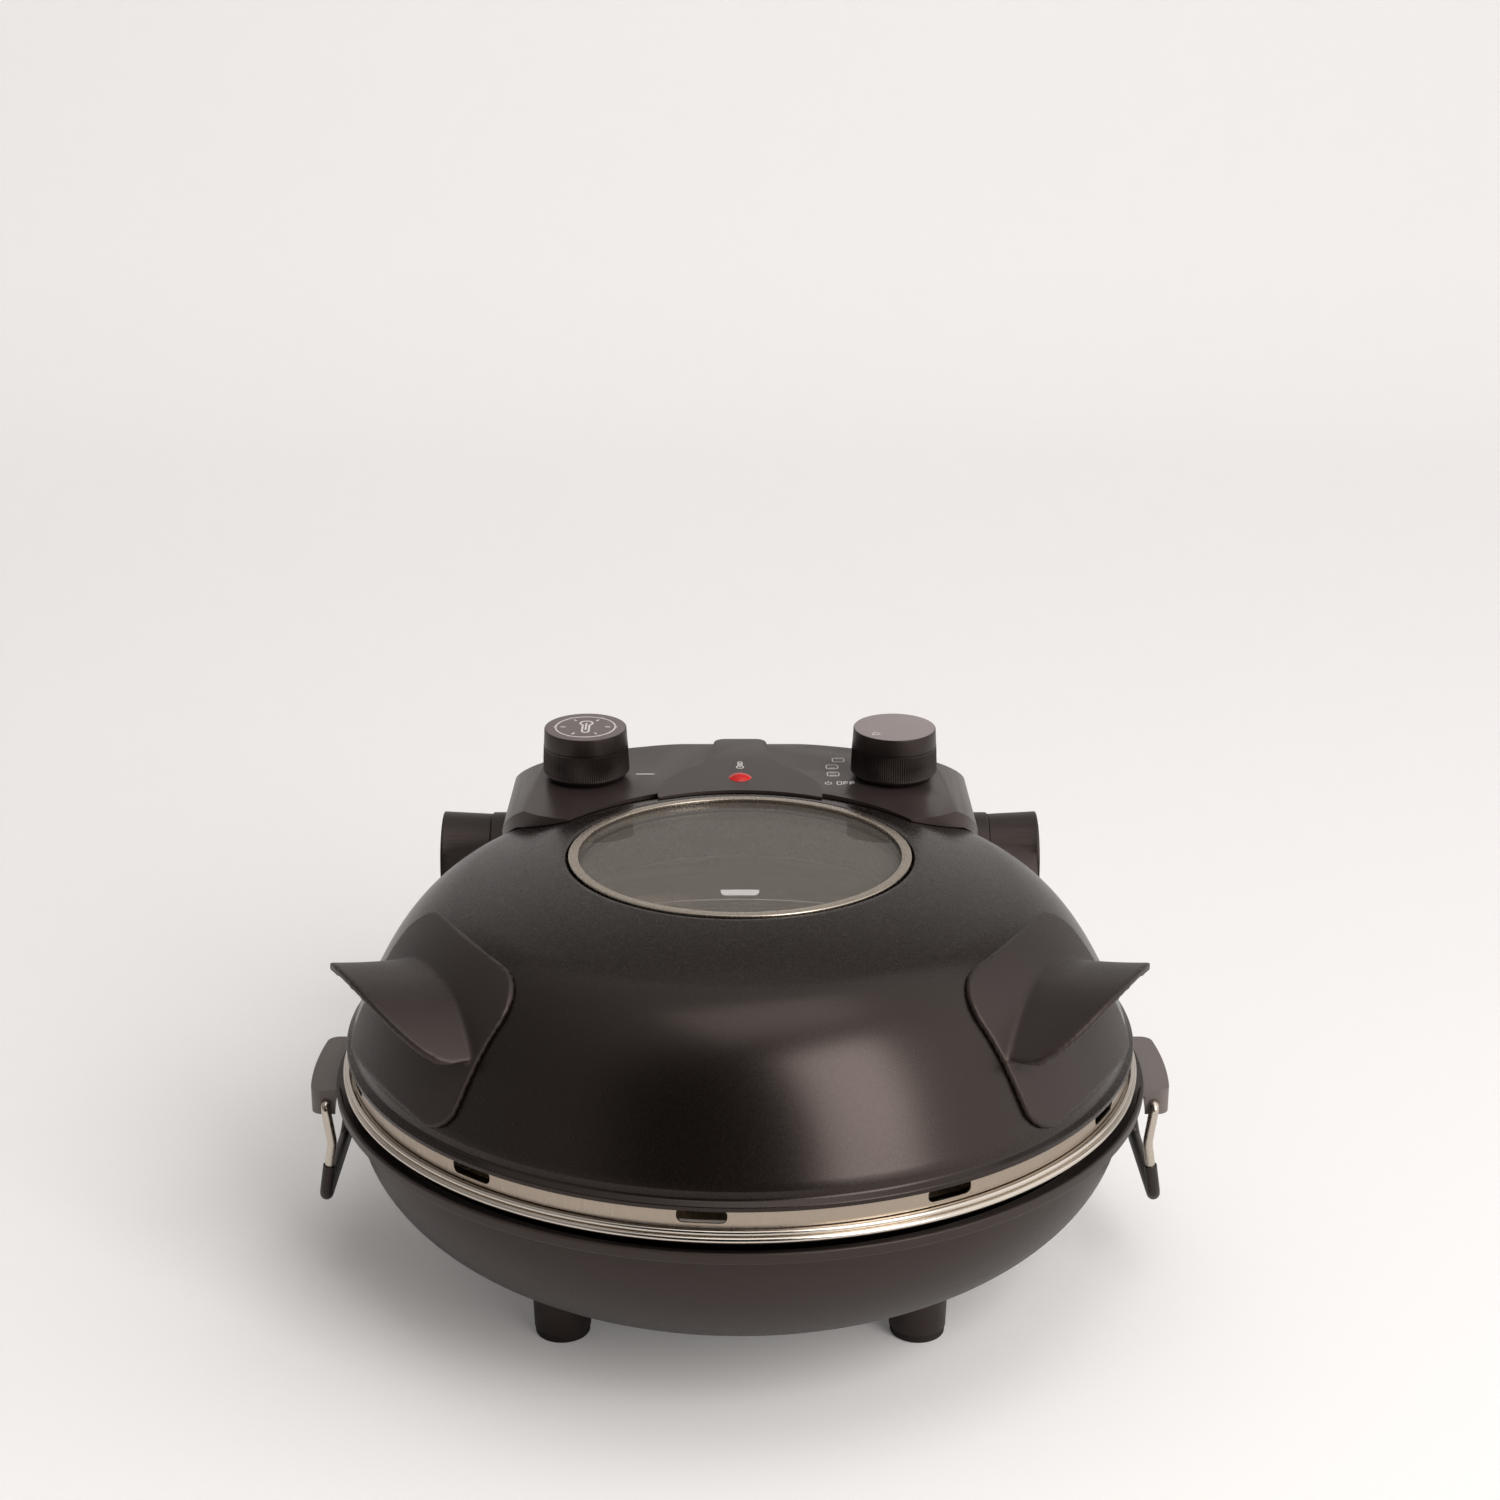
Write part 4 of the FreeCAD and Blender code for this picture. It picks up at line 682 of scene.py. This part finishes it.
def make_knobs():
    """Knobs: a finely ribbed skirt on a smooth foot that narrows downwards, and a flat cap.

    A rib is a cosine wave on the skirt's radius, faded out at its foot and at its top.
    """
    for name, x, face in (("temperature", -KNOB_X, DIAL_LACQUER), ("mode", KNOB_X, CAP_LACQUER)):
        about = panel_frame(x, KNOB_Y)
        origin, first, second, along = about
        body = name + "_knob"
        cap = rounded([(0, CAP_FOOT), (CAP_R[0], CAP_FOOT), (CAP_R[1], CAP_TOP), (0, CAP_TOP)],
                      [0, 0.3, 0.45, 0])
        made = piece(name + "_cap_turned", body, "knob_plastic", KNOB_PLASTIC,
                     [(turned(cap, SMALL_STEPS, about), False, True)], name + "_knob_cap")
        second_finish(made, face, lambda middle: (middle - origin) @ along > CAP_TOP - LACQUER_BAND)
        foot = rounded(SKIRT_FOOT + ((SKIRT_FOOT_R, RIB_FOOT),), [0, 0.3, 0.3, 0], steps=4)
        rise = (RIB_FOOT + RIB_FADE, SKIRT_MIDDLE, RIB_TOP - RIB_FADE, RIB_TOP)
        skirt = np.vstack([foot, np.column_stack([SKIRT_SIDE_R, rise]), [SKIRT_SHOULDER, (0, CAP_FOOT)]])
        turn = np.linspace(0, 2 * np.pi, RIBS * RIB_STEPS, endpoint=False)
        height = skirt[:, 1]
        ribbed = np.clip(np.minimum(height - RIB_FOOT, RIB_TOP - height) / RIB_FADE, 0, 1)
        radius = skirt[:, :1] - RIB_DEEP * ribbed[:, None] * (0.5 - 0.5 * np.cos(RIBS * turn))
        spoke = np.cos(turn)[:, None] * first + np.sin(turn)[:, None] * second
        points = origin + radius[:, :, None] * spoke + height[:, None, None] * along
        piece(name + "_skirt_ribbed", body, "knob_plastic", KNOB_PLASTIC, [(points, False, True)],
              name + "_knob_skirt")


LENS_R = 5.1
LENS_RISE = 1.8


def make_lamp():
    """Lamp lens: a cap of the sphere that passes through its edge and its top, on a flat back."""
    ball = (LENS_R ** 2 + LENS_RISE ** 2) / (2 * LENS_RISE)
    edge = math.degrees(math.asin(LENS_R / ball))
    cap = arc((0, LENS_RISE - ball), ball, 90 - edge, 90, 16)
    profile = np.vstack([[(0, 0)], cap])
    about = panel_frame(0, LAMP_Y, PLATFORM_RISE)
    piece("lens_cap", "lid", "lamp_red", LAMP_ACRYLIC, [(turned(profile, SMALL_STEPS, about), False, True)],
          "lamp_lens")


# Thickness of the ink, and widths of the printed lines
INK_THICK = 0.08
DIAL_LINE = 0.7
TICK_LINE = 0.8
STUB_LINE = 1.0
DIAL_SIGN_LINE = 0.9
POINTER_LINE = 0.4
MARK_LINE = 0.9
PANEL_LINE = 0.55
POWER_LINE = 0.45
LAMP_SIGN_LINE = 0.5


def stroke(path, width, about, closed=False):
    """A printed line: a path on a plane widened to both sides along its normals, and its thickness.

    The grid's columns go round the line's small rectangular section.
    """
    path = np.array(path, float)
    ahead = np.roll(path, -1, axis=0) - np.roll(path, 1, axis=0) if closed else np.gradient(path, axis=0)
    ahead /= np.linalg.norm(ahead, axis=1)[:, None]
    aside = np.column_stack([-ahead[:, 1], ahead[:, 0]]) * width / 2
    origin, first, second, along = about
    left = path + aside
    right = path - aside
    sides = [(left, 0), (left, INK_THICK), (right, INK_THICK), (right, 0)]
    flat = [origin + side[:, :1] * first + side[:, 1:] * second + lift * along for side, lift in sides]
    return np.stack(flat, axis=1), closed, True


def circle(centre, radius, start=0.0, end=360.0, steps=49):
    """Points of a circle on a plane, between two angles in degrees."""
    return arc(centre, radius, start, end, steps)


def box_line(centre, wide, tall, corner):
    """A closed rounded rectangle on a plane."""
    x, y = centre
    points = [(x - wide / 2, y - tall / 2), (x + wide / 2, y - tall / 2), (x + wide / 2, y + tall / 2),
              (x - wide / 2, y + tall / 2)]
    return rounded(points, [corner] * 4, closed=True)


def thermometer(centre, scale, width, about):
    """A thermometer sign: a bulb and an open stem in one line, and a line in the stem."""
    x, y = centre
    bulb = circle((x, y - 2.4 * scale), 1.25 * scale, 123, 417, 33)
    stem = circle((x, y + 2.4 * scale), 0.68 * scale, 0, 180, 17)
    outline = np.vstack([bulb, stem])
    return [stroke(outline, width, about, closed=True),
            stroke([(x, y - 2.4 * scale), (x, y), (x, y + 1.6 * scale)], width, about)]


DIAL_RING_R = 13.3
DIAL_TICK = (8.9, 11.1)
DIAL_STUB = (12.8, 14.2)
DIAL_TURNS = (0, 60, 120, 180, 240, 300)
# From the front the dial's thermometer is upside down, so its scale is negative.
DIAL_SIGN_PLACE = (0.2, -0.4)
DIAL_SIGN_SCALE = -2.2


def spoke_line(turn, reach):
    """Three points of a straight line out from a dial's middle, between two radii."""
    way = np.array([math.cos(turn), math.sin(turn)])
    return [way * radius for radius in (reach[0], sum(reach) / 2, reach[1])]


def flat_line(start, length, y):
    """Three points of a straight line across a plane."""
    return [(start, y), (start + length / 2, y), (start + length, y)]


def make_dial_print():
    """Print on the temperature knob: a ring, ticks inside it, stubs across it and a thermometer."""
    dial = panel_frame(-KNOB_X, KNOB_Y, CAP_TOP)
    grids = [stroke(circle((0, 0), DIAL_RING_R, steps=97)[:-1], DIAL_LINE, dial, closed=True)]
    for turn in np.radians(DIAL_TURNS):
        grids.append(stroke(spoke_line(turn, DIAL_TICK), TICK_LINE, dial))
        grids.append(stroke(spoke_line(turn, DIAL_STUB), STUB_LINE, dial))
    grids += thermometer(DIAL_SIGN_PLACE, DIAL_SIGN_SCALE, DIAL_SIGN_LINE, dial)
    piece("dial_print", "temperature_knob", "knob_plastic", PRINT_INK, grids)


POINTER_PLACE = (-9.0, -9.0)
POINTER_TURN = math.radians(135)


def make_pointer_print():
    """Print on the mode knob: the outline of a small triangle, turned to point outwards."""
    pointer = panel_frame(KNOB_X, KNOB_Y, CAP_TOP)
    corners = np.array([(-1.9, -1.4), (1.9, -1.4), (0, 2.0)])
    cosine, sine = math.cos(POINTER_TURN), math.sin(POINTER_TURN)
    spin = np.array([(cosine, sine), (-sine, cosine)])
    triangle = rounded(corners @ spin + POINTER_PLACE, [0.2] * 3, closed=True)
    piece("pointer_print", "mode_knob", "knob_plastic", PRINT_INK,
          [stroke(triangle, POINTER_LINE, pointer, closed=True)])


# Middle of each heat-mode frame, and the sides on which a bar marks the heat: 1 above, -1 below
HEAT_SIGNS = (((44.8, 110.4), (1,)), ((41.7, 101.4), (-1,)), ((41.9, 92.3), (1, -1)))
HEAT_FRAME = (5.2, 5.0)
HEAT_BAR = 3.2
HEAT_BAR_OFF = 1.4
# Start, length and place up the panel of the temperature knob's mark
TEMPERATURE_MARK = (-46.8, 8.3, 92.3)
# Off position: its place up the panel, the places across it of its sign and letters, and half the
# height of a letter
OFF_Y = 81.0
POWER_X = 39.4
POWER_R = 1.4
POWER_STEM = 2.2
RING_LETTER_X = 44.3
STEM_LETTERS_X = (46.3, 49.2)
LETTER_HALF = 1.9
# How far a letter's upper bar lies below its top, and the lower bar above its middle
LETTER_BARS = (0.27, 0.1)
LETTER_BAR = 1.8


def make_panel_print():
    """Print on the panel: the temperature mark, the heat-mode signs and the off position."""
    panel = panel_frame(0, 0)
    grids = [stroke(flat_line(*TEMPERATURE_MARK), MARK_LINE, panel)]
    for (x, y), bars in HEAT_SIGNS:
        grids.append(stroke(box_line((x, y), *HEAT_FRAME, 1.2), PANEL_LINE, panel, closed=True))
        for bar in bars:
            line = flat_line(x - HEAT_BAR / 2, HEAT_BAR, y + HEAT_BAR_OFF * bar)
            grids.append(stroke(line, PANEL_LINE, panel))
    grids.append(stroke(circle((POWER_X, OFF_Y - 0.2), POWER_R, 120, 420), POWER_LINE, panel))
    stem = [(POWER_X, OFF_Y), (POWER_X, OFF_Y + POWER_STEM / 2), (POWER_X, OFF_Y + POWER_STEM)]
    grids.append(stroke(stem, POWER_LINE, panel))
    ring = box_line((RING_LETTER_X, OFF_Y), 2.0, 2 * LETTER_HALF, 0.95)
    grids.append(stroke(ring, PANEL_LINE, panel, closed=True))
    for x in STEM_LETTERS_X:
        stem = [(x, OFF_Y - LETTER_HALF), (x, OFF_Y), (x, OFF_Y + LETTER_HALF)]
        grids.append(stroke(stem, PANEL_LINE, panel))
        for y in (OFF_Y + LETTER_HALF - LETTER_BARS[0], OFF_Y + LETTER_BARS[1]):
            grids.append(stroke(flat_line(x, LETTER_BAR, y), PANEL_LINE, panel))
    piece("panel_print", "lid", "black_plastic", PRINT_INK, grids)


LAMP_SIGN_Y = 97.6
LAMP_SIGN_SCALE = 1.25


def make_lamp_print():
    """Print behind the lamp: a small thermometer on the raised platform."""
    sign = panel_frame(0, LAMP_SIGN_Y, PLATFORM_RISE)
    piece("lamp_print", "lid", "black_plastic", PRINT_INK,
          thermometer((0, 0), LAMP_SIGN_SCALE, LAMP_SIGN_LINE, sign))


make_bowl()
make_pan()
make_feet()
make_bails()
make_dome()
make_window()
make_knobs()
make_lamp()
make_dial_print()
make_pointer_print()
make_panel_print()
make_lamp_print()

softened("control_housing", "lid", "black_plastic", HOUSING_PLASTIC_PAINTED_SHEEN, 0.8)
softened("rear_cover", "lid", "black_plastic", GRIP_PLASTIC, 0.3)
softened("lid_liner", "lid", "pan_steel", LINER_STEEL, 0)
softened("vent_band", "lid", "pan_steel", BAND_STEEL, 0.15)
softened("cord_gland", "base", "black_plastic", GRIP_PLASTIC, 0.4)
for hand in ("left", "right"):
    moulded(hand + "_grip", "lid", "black_plastic", GRIP_PLASTIC, 0.8)
    softened(hand + "_ear", "base", "bowl_paint", EAR_ENAMEL_PAINTED_LIGHT, 1.2)
    softened(hand + "_hinge_arm", "base", "black_plastic", GRIP_PLASTIC, 0.6)
    softened(hand + "_hinge_collar", "lid", "black_plastic", GRIP_PLASTIC, 0.8)
    painted(hand + "_hinge_pin", SCREW_STEEL)

for node in ("foot_screws", "ear_screws", "hinge_screws", "grip_screws", "rear_cover_screws",
             "temperature_shaft", "mode_shaft", "pan_posts", "lower_element_clips", "upper_element_clips"):
    painted(node, SCREW_STEEL)
for node in ("lower_element", "upper_element"):
    painted(node, SHEATH_STEEL)
for node in ("lamp_body", "thermostat", "selector_switch"):
    painted(node, KNOB_PLASTIC)
painted("pizza_stone", FIRED_STONE)
painted("terminal_block", FIRED_CERAMIC)
painted("window_gasket", PAD_RUBBER)


# Stage: a pale seamless sweep, soft light and the camera

# Light that the paper adds in the camera's eye alone, on the floor near the part and far behind it
PAPER_LIFT = (0.1, 0.27)
# Heights in metres between which painted shade darkens the wall's colour, and distances over which the
# added light grows
WALL_SHADE_Z = (1.5, 3.4)
LIFT_Y = (0.3, 2.2)
# Front edge of the floor, place of the wall, its top, the bend between them and half the width
FLOOR_FRONT = -4000
WALL_Y = 2600
WALL_TOP = 4000
SWEEP_BEND = 900
SWEEP_HALF = 5000


def make_stage():
    """A pale paper sweep: a floor that bends up into a wall, with painted shade that darkens the wall's
    colour high up.
    """
    made, tree = new_finish("seamless_paper")
    place = add(tree, "ShaderNodeTexCoord").outputs["Object"]
    parts = add(tree, "ShaderNodeSeparateXYZ", {"Vector": place})
    tooth = add(tree, "ShaderNodeTexNoise", {"Vector": place, "Scale": grain_sizes(2), "Detail": 2.0})
    tone = add(tree, "ShaderNodeMix", {"Factor": tooth.outputs["Fac"], "A": linear("#f4f2f1"),
                                       "B": linear("#f7f5f4")}, data_type="RGBA")
    high = add(tree, "ShaderNodeMapRange", {"Value": parts.outputs["Z"], "From Min": WALL_SHADE_Z[0],
                                            "From Max": WALL_SHADE_Z[1]})
    # Painted shade: high up, the wall's colour is mixed towards this grey in place of the light falling off
    # there.
    shade = add(tree, "ShaderNodeMix", {"Factor": high.outputs["Result"], "A": tone.outputs["Result"],
                                        "B": linear("#a39f9c")}, data_type="RGBA")
    seen = add(tree, "ShaderNodeLightPath").outputs["Is Camera Ray"]
    far = add(tree, "ShaderNodeMapRange", {"Value": parts.outputs["Y"], "From Min": LIFT_Y[0],
                                           "From Max": LIFT_Y[1], "To Min": PAPER_LIFT[0],
                                           "To Max": PAPER_LIFT[1]})
    glow = add(tree, "ShaderNodeMath", {0: seen, 1: far.outputs["Result"]}, operation="MULTIPLY")
    shader = add(tree, "ShaderNodeBsdfPrincipled", {
        "Base Color": shade.outputs["Result"], "Roughness": 0.9, "Specular IOR Level": 0.1,
        "Emission Color": linear("#fffaf7"), "Emission Strength": glow.outputs["Value"]})
    add(tree, "ShaderNodeOutputMaterial", {"Surface": shader.outputs["BSDF"]})
    bend = rounded([(FLOOR_FRONT, 0), (WALL_Y, 0), (WALL_Y, WALL_TOP)], [0, SWEEP_BEND, 0], steps=24)
    across = np.linspace(-SWEEP_HALF, SWEEP_HALF, 3)
    strips = [np.stack([np.full(len(bend), x), bend[:, 0], bend[:, 1]], axis=-1) for x in across]
    points = np.stack(strips, axis=1)
    mesh = grid_mesh("paper_sweep", [(points, False, False)])
    sweep = bpy.data.objects.new("paper_sweep", mesh)
    bpy.context.scene.collection.objects.link(sweep)
    mesh.materials.append(made)


def soft_box(name, place, aim, size, power):
    """An area lamp at a place in metres, turned to aim at a point, with its power in watts."""
    lamp = bpy.data.lights.new(name, "AREA")
    lamp.shape = "RECTANGLE"
    lamp.size, lamp.size_y = size
    lamp.energy = power
    lamp.color = linear(LAMP_WHITE)[:3]
    made = bpy.data.objects.new(name, lamp)
    bpy.context.scene.collection.objects.link(made)
    way = np.array(aim, float) - np.array(place, float)
    made.location = place
    flat = math.hypot(way[0], way[1])
    made.rotation_euler = (math.atan2(flat, -way[2]), 0, math.atan2(-way[0], way[1]))


# Brightness of the room away from its dark patch, the shares of it on the left and the right,
# and the way from the part to the middle of the patch
ROOM_LEVEL = 0.5
ROOM_SIDES = (0.6, 2.4)
DARK_WAY = (0.0, -0.89, 0.46)
# Cosines between which the room fades into the patch, and how far to the side the shares are reached
DARK_EDGE = (0.64, 0.94)
SIDE_REACH = 0.8
LAMP_WHITE = "#fffdfb"


def make_light():
    """Soft studio light: an even room with a dark patch behind the camera, and soft boxes.

    The room's strength is the product of a smooth ramp of the cosine between a direction and
    the dark way, and of a ramp from its left side to its right.
    """
    world = bpy.data.worlds.new("studio_room")
    bpy.context.scene.world = world
    world.use_nodes = True
    tree = world.node_tree
    tree.nodes.clear()
    way = add(tree, "ShaderNodeTexCoord").outputs["Generated"]
    near = add(tree, "ShaderNodeVectorMath", {0: way, 1: DARK_WAY}, operation="DOT_PRODUCT")
    level = add(tree, "ShaderNodeMapRange", {"Value": near.outputs["Value"], "From Min": DARK_EDGE[0],
                                             "From Max": DARK_EDGE[1], "To Min": ROOM_LEVEL,
                                             "To Max": 0.0}, interpolation_type="SMOOTHSTEP")
    parts = add(tree, "ShaderNodeSeparateXYZ", {"Vector": way})
    side = add(tree, "ShaderNodeMapRange", {"Value": parts.outputs["X"], "From Min": -SIDE_REACH,
                                            "From Max": SIDE_REACH, "To Min": ROOM_SIDES[0],
                                            "To Max": ROOM_SIDES[1]})
    strength = add(tree, "ShaderNodeMath", {0: level.outputs["Result"], 1: side.outputs["Result"]},
                   operation="MULTIPLY")
    room = add(tree, "ShaderNodeBackground", {"Color": linear(LAMP_WHITE),
                                              "Strength": strength.outputs["Value"]})
    add(tree, "ShaderNodeOutputWorld", {"Surface": room.outputs["Background"]})
    soft_box("front_right_box", (1.42, -1.88, 1.68), (0, 0, 0.1), (1.3, 2.2), 50)
    soft_box("overhead_box", (0.2, -0.35, 2.2), (0, -0.05, 0), (1.4, 0.9), 5)


# Place in metres, dip below level, lens and film widths in millimetres, and sideways shift
CAMERA_PLACE = (0, -0.969, 0.534)
CAMERA_DIP = math.radians(18.01)
CAMERA_LENS = 59.69
CAMERA_FILM = 36
CAMERA_SHIFT = 10 / 1500


def make_camera():
    """Camera in the place, and with the field of view, that the picture was taken from."""
    lens = bpy.data.cameras.new("photo_camera")
    lens.sensor_width = CAMERA_FILM
    lens.lens = CAMERA_LENS
    lens.shift_x = CAMERA_SHIFT
    made = bpy.data.objects.new("photo_camera", lens)
    bpy.context.scene.collection.objects.link(made)
    made.location = CAMERA_PLACE
    made.rotation_euler = (math.pi / 2 - CAMERA_DIP, 0, 0)
    bpy.context.scene.camera = made


make_stage()
make_light()
make_camera()
bpy.context.scene.view_settings.view_transform = "Standard"
